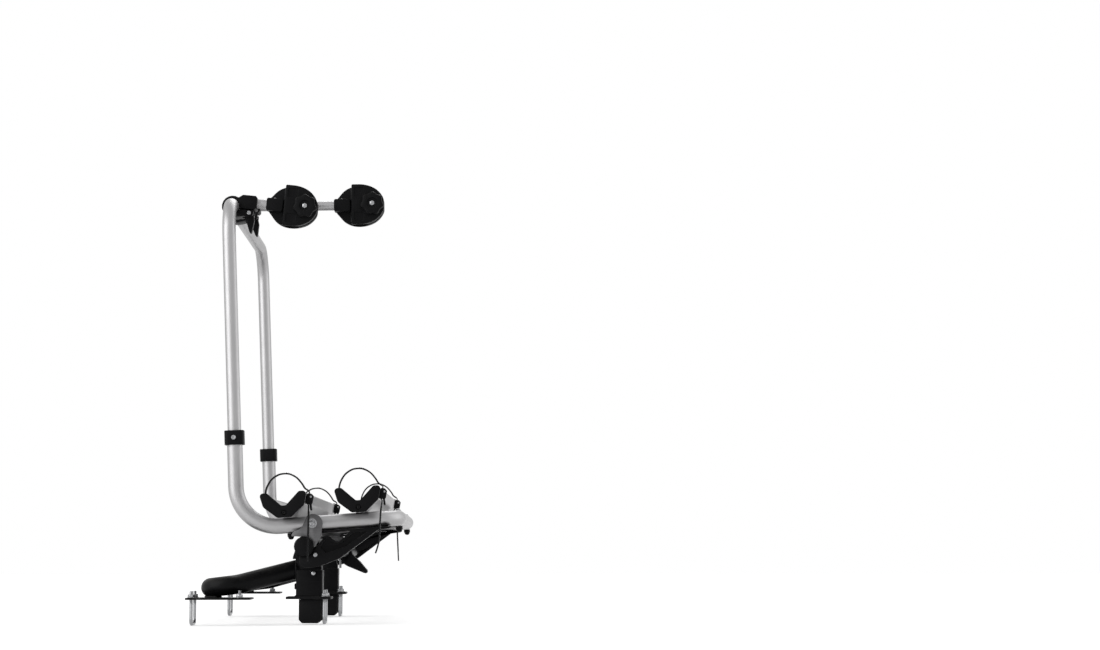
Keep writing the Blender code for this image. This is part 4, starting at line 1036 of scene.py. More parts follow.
def rectangle_line(left, right, front, back, radius, height):
    """Returns a level rectangle with rounded corners."""
    points = []
    for x, y, start in ((right, back, 0), (left, back, 90), (left, front, 180), (right, front, 270)):
        centre_x = x - radius if x == right else x + radius
        centre_y = y - radius if y == back else y + radius
        for k in range(5):
            angle = math.radians(start + 22.5 * k)
            x_on_arc = centre_x + radius * math.cos(angle)
            points.append(design(x_on_arc, centre_y + radius * math.sin(angle), height))
    return points


def tube_end_line(line, radius, plane_x):
    """Returns the closed line at which the start of a round tube meets a plane square to X."""
    direction = (line[1] - line[0]).normalized()
    across, up = path_frames(line)[0]
    points = []
    for angle in full_turn(TUBE_SIDES):
        point = line[0] + across * radius * math.cos(angle) + up * radius * math.sin(angle)
        points.append(point + direction * ((plane_x - point.x) / direction.x))
    return points


POST_BACK = -0.0233
POST_FOOT = {"left": -0.0236, "right": 0.0330, "half_width": 0.0281, "corner": 0.003, "height": 0.0024}
BEARING_SEAM = {"start": -0.0225, "end": 0.0295, "half_width": 0.0205, "height": 0.0578}
PLATE_SEAM = {"reach": 0.024, "half_width": 0.0105, "height": 0.0022}
TUBE_SEAM_OFFSET = 0.0008
CROSS_SEAM_OFFSET = 0.0006
ARM_SEAM = (10.0, 112.0)


def plate_seam(line, sign, offset):
    """Returns the line at which one flank of the base tube meets its clamp plate."""
    limit = design(0.0, 0.0, PLATE_SEAM["reach"]).z
    near = [point for point in line if point.y * sign > 0.0 and point.z < limit]
    seam = []
    for here, (across, up) in zip(near, path_frames(near)):
        spot = here + across.cross(up).cross(UP).normalized() * offset
        seam.append(Vector((spot.x, spot.y, design(0.0, 0.0, PLATE_SEAM["height"]).z)))
    return seam


def base_welds(bead):
    bm = bmesh.new()
    line = base_line()
    face = design(POST_BACK, 0.0, 0.0).x
    for way in (1, -1):
        weld(bm, tube_end_line(line[::way], BASE_RADIUS + TUBE_SEAM_OFFSET, face), bead, True)
    foot = POST_FOOT
    bearing = BEARING_SEAM
    for sign in SIDES.values():
        y = sign * POST_Y
        weld(bm, rectangle_line(foot["left"], foot["right"], y - foot["half_width"], y + foot["half_width"],
                                foot["corner"], foot["height"]), bead, True)
        for way in WAYS:
            edge = y + way * bearing["half_width"]
            seam = [design(x, edge, bearing["height"]) for x in (bearing["start"], bearing["end"])]
            weld(bm, seam, bead * 0.82)
        for way in WAYS:
            weld(bm, plate_seam(line, sign, way * PLATE_SEAM["half_width"]), bead * 1.1)
    return bm


def tilt_welds(bead):
    bm = bmesh.new()
    axis = (0.0, 1.0, 0.0)
    for sign in SIDES.values():
        inside = sign * ARM_INNER_Y
        centre = design(0.0, inside, PIVOT_HEIGHT)
        weld(bm, ring_line(centre, axis, TILT_TUBE_RADIUS + TUBE_SEAM_OFFSET, *ARM_SEAM, 30), bead)
        centre = design(CROSS_TUBE_X, inside - sign * GAP, CROSS_TUBE_HEIGHT)
        weld(bm, ring_line(centre, axis, CROSS_TUBE_RADIUS + CROSS_SEAM_OFFSET), bead * 0.86, True)
    return bm


class CARRIER_OT_welds(bpy.types.Operator):
    """Lay the weld beads on the base and the tilting frame"""
    bl_idname = "carrier.welds"
    bl_label = "Welds"

    def execute(self, context):
        bead = context.scene.carrier_detail.weld_radius
        add_piece("base_welds", base_welds(bead), "black_powder_coat", "base", angle=80.0)
        add_piece("tilt_welds", tilt_welds(bead), "black_powder_coat", "tilt_frame", angle=80.0)
        return {"FINISHED"}


# U-bolts, screws and nuts

U_BOLTS = {"rear": (-0.232, 0.380, 0.0010), "front": (0.037, POST_Y, 0.0020)}
U_BOLT_HALF_WIDTH = 0.032
U_BOLT_DEPTH = 0.0493
U_BOLT_BEND = 0.012
U_BOLT_RISE = 0.0138
U_BOLT_NUT = {"seat": 0.0002, "washer_radius": 0.0080, "top": 0.0068}
THREAD_BELOW_PLATE = 0.012
THREAD_STEP = 0.0003
THREAD_ROOT_SHARE = 0.90
THREAD_TIP_SHARE = 0.75


def u_bolt(bm, x, y, plate_top, rod, flat):
    """Adds a U-bolt with threaded legs, and a washer and a nut on each."""
    top = plate_top + U_BOLT_RISE
    low = -U_BOLT_DEPTH - rod
    first, second = (y + way * U_BOLT_HALF_WIDTH for way in WAYS)
    corners = [(x, first, top), (x, first, low), (x, second, low), (x, second, top)]
    line = [design(*point) for point in bent_path(corners, [U_BOLT_BEND] * 2, 10)]
    line = resample(line, THREAD_STEP)
    thread_end = design(0.0, 0.0, plate_top - THREAD_BELOW_PLATE).z
    sizes = []
    for i, point in enumerate(line):
        threaded = point.z > thread_end
        sizes.append(rod * (THREAD_ROOT_SHARE if threaded and i % 4 not in (1, 2) else 1.0))
    sizes[0] = sizes[-1] = rod * THREAD_TIP_SHARE
    round_bar(bm, line, sizes, 20)
    for way, side in zip(WAYS, (first, second)):
        seat = design(x, side, plate_top + U_BOLT_NUT["seat"])
        put_nut(bm, seat, U_BOLT_NUT["washer_radius"], flat, U_BOLT_NUT["top"], 0.3 + way * 0.2)


class CARRIER_OT_u_bolts(bpy.types.Operator):
    """Make the threaded U-bolts with which the base is clamped"""
    bl_idname = "carrier.u_bolts"
    bl_label = "U-bolts"

    def execute(self, context):
        detail = context.scene.carrier_detail
        for place, (x, y, plate_top) in U_BOLTS.items():
            for side, sign in SIDES.items():
                bm = bmesh.new()
                u_bolt(bm, x, sign * y, plate_top, detail.rod_radius, detail.nut_flat)
                name = place + "_" + side
                add_piece("threaded_u_bolt_" + name, bm, "zinc_plate", "base", angle=50.0,
                          replaced=["u_bolt_" + name])
        return {"FINISHED"}


BOLT_PLACES = {
    "clamp_plate": (-0.133, 0.408, 0.0011),
    "post": (0.0136, 0.3326, 0.0510),
    "post_back": (-0.0231, POST_Y, 0.0230),
    "pivot_plate": (0.0165, TILT_TUBE_HALF_LENGTH + 0.0001, 0.1542),
    "arm": (0.0231, ARM_Y + ARM_HALF_WIDTH + 0.0002, 0.0896),
    "collar": (leg_x(COLLAR_HEIGHT), FRAME_HALF_WIDTH + COLLAR_HALF_WIDTH + 0.0002, COLLAR_HEIGHT),
    "front": (FRONT_X, 0.335, platform_height(FRONT_X)),
}
WASHERS = {"pivot_plate": (0.0100, 0.0010), "front": (0.0066, 0.0014), "rail": (0.0080, 0.0012)}
HEADS = {"pivot_plate": (0.0062, 0.0030), "arm": (0.0050, 0.0028), "collar": (0.0047, 0.0040),
         "front": (0.0052, 0.0036), "rail": (0.0062, 0.0032)}
FRONT_SEAT = FRAME_RADIUS - 0.0006
RAIL_SEAT = 0.0023
PEDAL_SCREW_PLACE = (0.052, 0.0, 0.0600)


def bolt_place(name, sign):
    x, y, z = BOLT_PLACES[name]
    return design(x, sign * y, z)


def base_bolts(flat):
    """Returns the third bolts of the clamp plates and the bolts in the posts' outer faces."""
    bm = bmesh.new()
    for side, sign in SIDES.items():
        seat = bolt_place("clamp_plate", sign)
        put_nut(bm, seat, washer_radius=0.0078, flat=flat, top=0.0070, turn=0.4)
        put(bm, thread_rows(radius=0.0034, low=0.0070, high=0.0150), seat, UP)
        head = hexagon_rows(flat=0.0040, low=0.0, high=0.0034)
        put(bm, head, bolt_place("post", sign), OUTWARD[side], turn=0.2)
    return bm


def base_dark_bolts():
    """Returns the coated bolts in the backs of the posts."""
    bm = bmesh.new()
    for sign in SIDES.values():
        head = hexagon_rows(flat=0.0055, low=0.0, high=0.0045)
        put(bm, head, bolt_place("post_back", sign), BACKWARD)
    return bm


def tilt_screws():
    """Returns the screws of the pivot plates, the arms, the front corners and the rails."""
    bm = bmesh.new()
    for side, sign in SIDES.items():
        out = OUTWARD[side]
        put_screw(bm, bolt_place("pivot_plate", sign), out, WASHERS["pivot_plate"], HEADS["pivot_plate"])
        put(bm, button_rows(*HEADS["arm"]), bolt_place("arm", sign), out)
        seat = bolt_place("front", sign) + RAIL_UP * FRONT_SEAT
        put_screw(bm, seat, RAIL_UP, WASHERS["front"], HEADS["front"])
        for rail in RAIL_POSITIONS:
            seat = rail_point(rail, sign * FRAME_HALF_WIDTH, 0.0, RAIL_SEAT)
            put_screw(bm, seat, RAIL_UP, WASHERS["rail"], HEADS["rail"])
    return bm


def collar_screws():
    bm = bmesh.new()
    for side, sign in SIDES.items():
        put(bm, socket_rows(*HEADS["collar"]), bolt_place("collar", sign), OUTWARD[side])
    return bm


def pedal_screw():
    """Returns the set bolt of the pedal with its lock nut."""
    bm = bmesh.new()
    foot = design(*PEDAL_SCREW_PLACE)
    put(bm, thread_rows(radius=0.0028, low=0.0, high=0.0240), foot, UP)
    put(bm, hexagon_rows(flat=0.0048, low=0.0160, high=0.0205), foot, UP)
    return bm


class CARRIER_OT_screws(bpy.types.Operator):
    """Set the screws, bolts and nuts of the base and the tilting frame"""
    bl_idname = "carrier.screws"
    bl_label = "Screws and nuts"

    def execute(self, context):
        flat = context.scene.carrier_detail.nut_flat
        add_piece("base_bolts", base_bolts(flat), "zinc_plate", "base")
        add_piece("base_dark_bolts", base_dark_bolts(), "black_powder_coat", "base")
        add_piece("tilt_screws", tilt_screws(), "zinc_plate", "tilt_frame")
        add_piece("collar_screws", collar_screws(), "zinc_plate", "tilt_frame")
        add_piece("pedal_screw", pedal_screw(), "zinc_plate", "pedal")
        return {"FINISHED"}


# Rails, straps and buckles

WING_FOOT = Vector((0.0140, 0.0020))
WING_TOP = Vector((0.0370, 0.0230))
LIP_BASE = Vector((0.0388, 0.0260))
LIP_TOP = Vector((0.0430, 0.0430))
ROLLED_EDGE = Vector((0.0430, 0.0432))
ROLLED_EDGE_RADIUS = 0.0016
RIB_REACH = RAIL_HALF_LENGTH - 0.0015
RIB_SPREAD = 0.9


def on_lip(along, out):
    """Returns a rail point given along the lip from its base and outwards from its middle plane."""
    direction = (LIP_TOP - LIP_BASE).normalized()
    point = LIP_BASE + direction * along + Vector((direction.y, -direction.x)) * out
    return point.x, point.y


def rail_bar(bm, rail, way, spot, radius, segments):
    """Adds a round bar along a rail at a point of its section."""
    line = [rail_point(rail, y, way * spot.x, spot.y) for y in (-RIB_REACH, RIB_REACH)]
    round_bar(bm, line, radius, segments)


class CARRIER_OT_rails(bpy.types.Operator):
    """Add the ribs and the rolled lips of the rails"""
    bl_idname = "carrier.rails"
    bl_label = "Rail ribs"

    def execute(self, context):
        count = context.scene.carrier_detail.rib_count
        radius = context.scene.carrier_detail.rib_radius
        wing = WING_TOP - WING_FOOT
        normal = Vector((-wing.y, wing.x)).normalized()
        for rail in RAIL_POSITIONS:
            bm = bmesh.new()
            for way in WAYS:
                for k in range(count):
                    share = RIB_SPREAD * (k + 1) / (count + 1)
                    spot = WING_FOOT + wing * share + normal * radius
                    rail_bar(bm, rail, way, spot, radius, 12)
                rail_bar(bm, rail, way, ROLLED_EDGE, ROLLED_EDGE_RADIUS, 16)
            add_piece("rail_ribs_" + rail, bm, "anodised_rail", "tilt_frame")
        return {"FINISHED"}


CAP_FLANGE = ((0.0140, -0.0025, 0.0060), (0.0410, 0.0205, 0.0120), (0.0478, 0.0485, 0.0065),
              (0.0322, 0.0485, 0.0060), (0.0045, 0.0215, 0.0060))
CAP_PLUG = ((0.0115, 0.0028, 0.0020), (0.0352, 0.0245, 0.0020), (0.0372, 0.0270, 0.0010),
            (0.0405, 0.0405, 0.0010), (0.0330, 0.0410, 0.0020), (0.0060, 0.0150, 0.0030))
FLANGE_SPAN = (0.5643, 0.5702)
PLUG_SPAN = (0.5483, 0.5655)
PLUG_RIM = 0.0004
CAP_SINK = ((0.0056, 0.0), (0.0056, 0.0026), (0.0064, 0.0034), (0.0064, 0.0050))
CAP_SINK_Y = 0.5672
CAP_SCREW_Y = 0.5671
CAP_SCREW_HEIGHT = 0.0074
CAP_SCREW_HEAD = (0.0046, 0.0026)


def add_cap_layer(bm, half, span, rim, place):
    """Adds one layer of a cap from the right half of its outline."""
    corners = [(-x, z, radius) for x, z, radius in reversed(half)] + list(half)
    slab(bm, rounded_ring(corners), *span, rim, place)


def rail_cap(place, out, edge):
    """Returns an end cap: a flange with a sunk place for its screw, and the plug inside the rail."""
    bm = bmesh.new()
    add_cap_layer(bm, CAP_FLANGE, FLANGE_SPAN, edge, place)
    sink = bmesh.new()
    rows = [round_row(radius, height) for radius, height in CAP_SINK]
    put(sink, rows, place(0.0, CAP_SINK_Y, CAP_SCREW_HEIGHT), out)
    bm = carved(bm, sink)
    add_cap_layer(bm, CAP_PLUG, PLUG_SPAN, PLUG_RIM, place)
    return bm


class CARRIER_OT_caps(bpy.types.Operator):
    """Make the rounded end caps of the rails with their sunk screws"""
    bl_idname = "carrier.caps"
    bl_label = "Rail end caps"

    def execute(self, context):
        edge = context.scene.carrier_detail.soft_edge * 1.4
        for rail in RAIL_POSITIONS:
            for side, out in OUTWARD.items():
                def place(x, y, z, rail=rail, sign=out.y):
                    return rail_point(rail, sign * y, x, z)

                name = "_" + rail + "_" + side
                add_piece("rounded_cap" + name, rail_cap(place, out, edge), "black_plastic", "tilt_frame",
                          replaced=["rail_" + rail + "_cap_" + side])
                bm = bmesh.new()
                put(bm, button_rows(*CAP_SCREW_HEAD), place(0.0, CAP_SCREW_Y, CAP_SCREW_HEIGHT), out)
                add_piece("cap_screw" + name, bm, "black_powder_coat", "tilt_frame")
        return {"FINISHED"}


STRAP_Y = 0.505
STRAP_ARCH = [
    (-0.0358, 0.0270), (-0.0394, 0.0400), (-0.0390, 0.0510), (-0.0345, 0.0640), (-0.0250, 0.0770),
    (-0.0120, 0.0850), (0.0, 0.0870), (0.0120, 0.0850), (0.0250, 0.0770), (0.0345, 0.0650),
    (0.0400, 0.0550), (0.0450, 0.0505), (0.0492, 0.0470), on_lip(0.0120, 0.0052), on_lip(-0.0010, 0.0052),
]
STRAP_TAILS = {
    ("inner", "right"): [(0.0132, 0.1870), (0.0130, 0.1500), (0.0125, 0.1100), (0.0118, 0.0750)],
    ("inner", "left"): [(0.0136, 0.1870), (0.0140, 0.1700), (0.0175, 0.1560), (0.0260, 0.1490),
                        (0.0350, 0.1500)],
    ("outer", "right"): [(0.1625, 0.1980), (0.1597, 0.1800), (0.1576, 0.1442), (0.1556, 0.1135),
                         (0.1494, 0.0921)],
    ("outer", "left"): [(0.1632, 0.1980), (0.1637, 0.1600), (0.1655, 0.1200), (0.1680, 0.0742)],
}
STRAP_UNDER = 0.0009
TOOTH_FOOT = 0.0001
BUCKLE_REACH = (0.146, 0.190)
BUCKLE_OUTER = 0.0011
TEETH_START = 0.085
PLAIN_TIP = 0.022
TAPERED_TIP = 0.012
TIP_SHARE = 0.45


def strap_line(rail, side):
    """Returns the middle of a strap, from its anchor over the arch and through the buckle to its tip."""
    y = OUTWARD[side].y * STRAP_Y
    points = [rail_point(rail, y, along, up) for along, up in STRAP_ARCH]
    points += [design(x, y, z) for x, z in STRAP_TAILS[(rail, side)]]
    return smooth_line(points, 8)


def strap_section(half, outer, rise):
    """Returns a strap's section as distances across and outwards, with its tooth at a height."""
    tooth = half * 0.70
    right = [(half - 0.0005, -STRAP_UNDER), (half, 0.0005 - STRAP_UNDER), (half, outer - 0.0003),
             (half - 0.0006, outer), (tooth, outer), (tooth - 0.0004, rise)]
    return right + [(-across, height) for across, height in reversed(right)]


def toothed_strap(bm, line, detail):
    """Adds a flat strap with cross teeth on its outer side, plain in the buckle and at its tapered tip."""
    step = detail.tooth_pitch / 4.0
    points = resample(line, step)
    last = len(points) - 1
    rows = []
    for i, here in enumerate(points):
        run = points[min(i + 1, last)] - points[max(i - 1, 0)]
        out = Vector((-run.z, 0.0, run.x)).normalized()
        done = i * step
        left = (last - i) * step
        taper = min(1.0, TIP_SHARE + (1.0 - TIP_SHARE) * math.sqrt(min(1.0, left / TAPERED_TIP)))
        in_buckle = BUCKLE_REACH[0] < done < BUCKLE_REACH[1]
        toothed = done > TEETH_START and left > PLAIN_TIP and not in_buckle
        outer = BUCKLE_OUTER if in_buckle else detail.strap_base - STRAP_UNDER
        rise = outer + (detail.tooth_rise if toothed and i % 4 in (1, 2) else TOOTH_FOOT)
        section = strap_section(detail.strap_width * 0.5 * taper, outer, rise)
        rows.append([here + Vector((0.0, across, 0.0)) + out * height for across, height in section])
    loft(bm, rows)


class CARRIER_OT_straps(bpy.types.Operator):
    """Make the toothed straps of the rails"""
    bl_idname = "carrier.straps"
    bl_label = "Wheel straps"

    def execute(self, context):
        for rail, side in STRAP_TAILS:
            bm = bmesh.new()
            toothed_strap(bm, strap_line(rail, side), context.scene.carrier_detail)
            name = rail + "_" + side
            add_piece("toothed_strap_" + name, bm, "strap", "tilt_frame", angle=30.0,
                      replaced=["strap_" + name])
        return {"FINISHED"}


PIN_Y = 0.0121
PIN_HEAD = (0.0023, 0.0010)
ANCHOR_POINT = (-0.0392, 0.0330)
ANCHOR_HEAD = (0.0034, 0.0016)
ANCHOR_OUT = 0.0012
GRIP_RIB = {"top": 0.0105, "run": 0.0125, "out": 0.0141, "half_width": 0.0080, "radius": 0.0007}


def buckle_rivets(rail, side):
    """Returns the ends of a lever's pin and the rivet that anchors the strap."""
    bm = bmesh.new()
    pivot = Vector(JOINTS["strap_lever_turn_" + rail + "_" + side]["pos_m"])
    for way in WAYS:
        put(bm, button_rows(*PIN_HEAD), pivot + Vector((0.0, way * PIN_Y, 0.0)), (0.0, way, 0.0))
    anchor = rail_point(rail, OUTWARD[side].y * STRAP_Y, *ANCHOR_POINT)
    put(bm, button_rows(*ANCHOR_HEAD), anchor + BACKWARD * ANCHOR_OUT, BACKWARD)
    return bm


def lever_ribs(rail, side, count):
    """Returns the grip ribs on the face of a buckle's lever."""
    bm = bmesh.new()
    y = OUTWARD[side].y * STRAP_Y
    for k in range(count):
        place = on_lip(GRIP_RIB["top"] - GRIP_RIB["run"] * k / count, GRIP_RIB["out"])
        ends = [rail_point(rail, y + way * GRIP_RIB["half_width"], *place) for way in WAYS]
        round_bar(bm, ends, GRIP_RIB["radius"], 10)
    return bm


class CARRIER_OT_buckles(bpy.types.Operator):
    """Add the pins and the grip ribs of the strap buckles"""
    bl_idname = "carrier.buckles"
    bl_label = "Buckle pins and ribs"

    def execute(self, context):
        count = context.scene.carrier_detail.lever_ribs
        for rail, side in STRAP_TAILS:
            name = rail + "_" + side
            add_piece("buckle_rivets_" + name, buckle_rivets(rail, side), "zinc_plate", "tilt_frame")
            add_piece("lever_ribs_" + name, lever_ribs(rail, side, count), "black_plastic",
                      "strap_lever_" + name)
        return {"FINISHED"}


# Claws and knobs

HOLDERS = {"near": (math.radians(5.2), 0.073), "far": (math.radians(-1.0), 0.214)}
HOLDER_OFFSET = 0.014
GRIP_X = 0.052
GRIP_RADIUS = 0.020
GROOVE_REACH = 0.06
SCREW_X = 0.081
JAW_HALF_HEIGHT = 0.044
JAW_SPAN = (0.005, 0.023)
JAW_SHAPE = ((0.0, 0.216), (0.154, 0.477), (0.385, 0.773), (0.69, 0.955), (1.04, 1.0), (1.385, 0.936),
             (1.69, 0.773), (1.92, 0.511), (2.04, 0.205))
JAW_POCKET = ((0.0410, 0.0170, 0.003), (0.0640, 0.0170, 0.003), (0.0635, 0.0378, 0.004),
              (0.0410, 0.0372, 0.004))
POCKET_SPAN = (0.021, 0.027)
POCKET_RIM = 0.0005
NECK_BOX = {"left": -0.003, "right": 0.033, "low": -0.0135, "high": 0.0135, "radius": 0.004}
NECK_SPAN = (-0.0135, 0.0149)


def holder_space(name, along=0.0):
    """Returns the matrix of a holding arm, whose X runs along the arm from the hoop's bar."""
    pitch, _ = HOLDERS[name]
    hinge = Matrix.Translation(JOINTS["holder_swing_" + name]["pos_m"])
    return hinge @ Matrix.Rotation(pitch, 4, "Y") @ Matrix.Translation((along, 0.0, HOLDER_OFFSET))


def jaw_ring(fixed):
    """Returns the outline of a whole jaw, or of a sliding one that starts beside the screw."""
    half = [(GRIP_X * x, JAW_HALF_HEIGHT * z) for x, z in JAW_SHAPE[0 if fixed else 3:]]
    ring = smooth_ring([(x, -z) for x, z in reversed(half)] + half, 6)
    left, right = half[0][0], half[-1][0]
    return [(max(left, min(x, right)), max(-JAW_HALF_HEIGHT, min(z, JAW_HALF_HEIGHT))) for x, z in ring]


def cut_groove(bm, space):
    """Returns a mesh with the round groove of the claws cut out of it."""
    cutter = bmesh.new()
    ends = [space @ Vector((GRIP_X, 0.0, way * GROOVE_REACH)) for way in WAYS]
    round_bar(cutter, ends, GRIP_RADIUS, 64)
    return carved(bm, cutter)


def jaw_body(space, way, fixed, edge):
    """Returns one jaw with its groove and its two shallow pockets."""
    def place(x, y, z):
        return space @ Vector((x, way * y, z))

    bm = bmesh.new()
    slab(bm, jaw_ring(fixed), *JAW_SPAN, edge, place)
    bm = cut_groove(bm, space)
    for part in (1.0, -1.0):
        cutter = bmesh.new()
        ring = rounded_ring([(x, part * z, radius) for x, z, radius in JAW_POCKET])
        slab(cutter, ring, *POCKET_SPAN, POCKET_RIM, place)
        bm = carved(bm, cutter)
    return bm


def claw_neck(space, edge):
    """Returns the block that holds a claw on the end of its arm."""
    bm = bmesh.new()
    outline = rounded_ring(box_corners(**NECK_BOX))
    slab(bm, outline, *NECK_SPAN, edge, lambda x, y, z: space @ Vector((x, y, z)))
    return cut_groove(bm, space)


PAD_HALF_HEIGHT = 0.0375
PAD_OUTER = 0.0199
PAD_INNER = 0.0198
PAD_ROWS = 60
PAD_GROOVE = 0.0007
PAD_THIN_END = 0.002
PAD_END_SHARE = 0.35
PAD_ARC_START = 20.0
PAD_ARC_TURN = 140.0
PAD_ARC_STEPS = 12


def pad_arc(space, way, radius, z):
    """Returns an arc of points along the groove of a jaw."""
    arc = []
    for k in range(PAD_ARC_STEPS + 1):
        angle = math.radians(PAD_ARC_START + PAD_ARC_TURN * k / PAD_ARC_STEPS)
        arc.append(space @ Vector((GRIP_X + radius * math.cos(angle), way * radius * math.sin(angle), z)))
    return arc


def grip_pad(space, way, wall):
    """Returns a ribbed pad that lines the groove of one jaw."""
    bm = bmesh.new()
    rows = []
    for i in range(PAD_ROWS + 1):
        z = -PAD_HALF_HEIGHT + 2.0 * PAD_HALF_HEIGHT * i / PAD_ROWS
        share = max(PAD_END_SHARE, min(1.0, (PAD_HALF_HEIGHT - abs(z)) / PAD_THIN_END))
        inner = PAD_INNER - wall * share + (PAD_GROOVE if i % 6 in (0, 1) else 0.0)
        rows.append(pad_arc(space, way, PAD_OUTER, z) + pad_arc(space, way, inner, z)[::-1])
    loft(bm, rows)
    return bm


ARM_SCREW_HEAD = (0.0036, 0.0022)
NECK_SCREW_PLACE = (0.014, 0.0, 0.0133)
CLAMP_SCREW_PLACE = (0.036, 0.0, 0.0128)
CLAMP_PIN_PLACE = (0.036, 0.0217, -0.0105 - HOLDER_OFFSET)
CLAMP_PIN_HEAD = (0.0046, 0.0018)


def holder_screws(name, reach):
    """Returns the screws of a holding arm and the ends of its clamp's pin."""
    bm = bmesh.new()
    root = holder_space(name)
    above = root.to_3x3() @ UP
    put(bm, socket_rows(*ARM_SCREW_HEAD), holder_space(name, reach) @ Vector(NECK_SCREW_PLACE), above)
    put(bm, socket_rows(*ARM_SCREW_HEAD), root @ Vector(CLAMP_SCREW_PLACE), above)
    x, y, z = CLAMP_PIN_PLACE
    for way in WAYS:
        put(bm, button_rows(*CLAMP_PIN_HEAD), root @ Vector((x, way * y, z)), (0.0, way, 0.0))
    return bm


class CARRIER_OT_claws(bpy.types.Operator):
    """Make the jaws of the claws with their ribbed pads and screws"""
    bl_idname = "carrier.claws"
    bl_label = "Claws"

    def execute(self, context):
        detail = context.scene.carrier_detail
        plastic = "black_plastic"
        for name, (_, reach) in HOLDERS.items():
            space = holder_space(name, reach)
            for part, body, way in (("claw", "holder_", 1.0), ("jaw", "jaw_", -1.0)):
                jaw = jaw_body(space, way, part == "claw", detail.soft_edge * 2.2)
                add_piece("smooth_" + part + "_" + name, jaw, plastic, body + name,
                          replaced=["frame_" + part + "_" + name])
                pad = grip_pad(space, way, detail.pad_wall)
                add_piece(part + "_pad_" + name, pad, "strap", body + name)
            neck = claw_neck(space, detail.soft_edge * 2.0)
            add_piece("claw_neck_" + name, neck, plastic, "holder_" + name)
            add_piece("holder_screws_" + name, holder_screws(name, reach), "zinc_plate", "holder_" + name)
        return {"FINISHED"}


KNOB_FOOT = (SCREW_X, -0.0235, 0.0)
KNOB_PROFILE = (
    (0.0120, 0.0, 0.0), (0.0120, 0.0, 0.0018), (0.0225, 0.0020, 0.0022), (0.0245, 0.0030, 0.0030),
    (0.0257, 0.0036, 0.0048), (0.0260, 0.0038, 0.0070), (0.0260, 0.0038, 0.0110), (0.0254, 0.0036, 0.0138),
    (0.0240, 0.0030, 0.0157), (0.0215, 0.0022, 0.0166), (0.0150, 0.0006, 0.0169), (0.0118, 0.0, 0.0167),
    (0.0112, 0.0, 0.0160), (0.0110, 0.0, 0.0140), (0.0070, 0.0, 0.0138),
)
KNOB_THREAD = (0.0041, 0.0, 0.0627, 0.0015)
KNOB_HEXAGON = (0.0048, 0.0140, 0.0158)


def lobed_row(radius, depth, height, lobes, count=140):
    """Returns a ring with dents of a depth between its lobes."""
    row = []
    for angle in full_turn(count):
        dent = depth * (0.5 - 0.5 * math.cos(lobes * angle)) ** 0.8
        row.append(polar(radius - dent, angle, height))
    return row


class CARRIER_OT_knobs(bpy.types.Operator):
    """Make the lobed knobs and their threaded screws"""
    bl_idname = "carrier.knobs"
    bl_label = "Knobs"

    def execute(self, context):
        lobes = context.scene.carrier_detail.knob_lobes
        for name, (_, reach) in HOLDERS.items():
            space = holder_space(name, reach)
            foot = space @ Vector(KNOB_FOOT)
            out = space.to_3x3() @ OUTWARD["right"]
            bm = bmesh.new()
            put(bm, [lobed_row(*ring, lobes) for ring in KNOB_PROFILE], foot, out)
            add_piece("lobed_knob_" + name, bm, "black_plastic", "knob_" + name,
                      replaced=["jaw_knob_" + name])
            bm = bmesh.new()
            put(bm, thread_rows(*KNOB_THREAD), foot, -out)
            put(bm, hexagon_rows(*KNOB_HEXAGON), foot, out)
            add_piece("knob_screw_" + name, bm, "zinc_plate", "knob_" + name)
        return {"FINISHED"}


TREAD_START = Vector((0.1128, 0.0545))
TREAD_END = Vector((0.0943, 0.0762))
TREAD_HALF_WIDTH = 0.0195
TREAD_RIB_RADIUS = 0.0011
TREAD_FIRST = 0.08
TREAD_SPREAD = 0.98


class CARRIER_OT_pedal(bpy.types.Operator):
    """Add the tread ribs of the foot pedal"""
    bl_idname = "carrier.pedal"
    bl_label = "Pedal tread"

    def execute(self, context):
        bm = bmesh.new()
        count = context.scene.carrier_detail.tread_ribs
        for k in range(count):
            spot = TREAD_START + (TREAD_END - TREAD_START) * (TREAD_FIRST + TREAD_SPREAD * k / count)
            round_bar(bm, cross_line(spot.x, TREAD_HALF_WIDTH, spot.y), TREAD_RIB_RADIUS, 12)
        add_piece("pedal_tread", bm, "black_plastic", "pedal")
        return {"FINISHED"}


# Stage

LAMPS = {
    "key": {"place": (-2.6, -2.0, 1.7), "target": (0.0, 0.0, 0.45), "size": (3.4, 3.6)},
    "fill": {"place": (3.0, 0.3, 1.3), "target": (0.0, 0.0, 0.45), "size": (2.4, 3.0)},
    "back": {"place": (0.4, 1.6, 2.6), "target": (0.0, 0.0, 0.4), "size": (1.8, 1.0)},
}
WHITE = (1.0, 1.0, 1.0, 1.0)
FLOOR_COLOUR = (0.80, 0.80, 0.80)
SENSOR_WIDTH = 36.0
FLOOR_GAP = 0.0005


def area_light(name, place, target, size, power):
    lamp = bpy.data.lights.new(name, "AREA")
    lamp.shape = "RECTANGLE"
    lamp.size, lamp.size_y = size
    lamp.energy = power
    holder = bpy.data.objects.new(name, lamp)
    holder.location = place
    holder.rotation_euler = (Vector(target) - Vector(place)).to_track_quat("-Z", "Y").to_euler()
    bpy.context.collection.objects.link(holder)


def seen_rays(tree):
    """Returns 1 for the rays with which the camera, metal and glass see the white background."""
    rays = add_node(tree, "ShaderNodeLightPath").outputs
    mirrored = larger(tree, rays["Is Glossy Ray"], rays["Is Transmission Ray"])
    return larger(tree, rays["Is Camera Ray"], mirrored)


def make_surround(strength):
    """Lights the object softly and evenly, and shows white to the camera."""
    world = bpy.data.worlds.new("carrier_surround")
    world.use_nodes = True
    tree = world.node_tree
    back = tree.nodes["Background"]
    back.inputs["Color"].default_value = WHITE
    tree.links.new(ramp(tree, seen_rays(tree), 0.0, 1.0, strength, 1.0), back.inputs["Strength"])
    bpy.context.scene.world = world


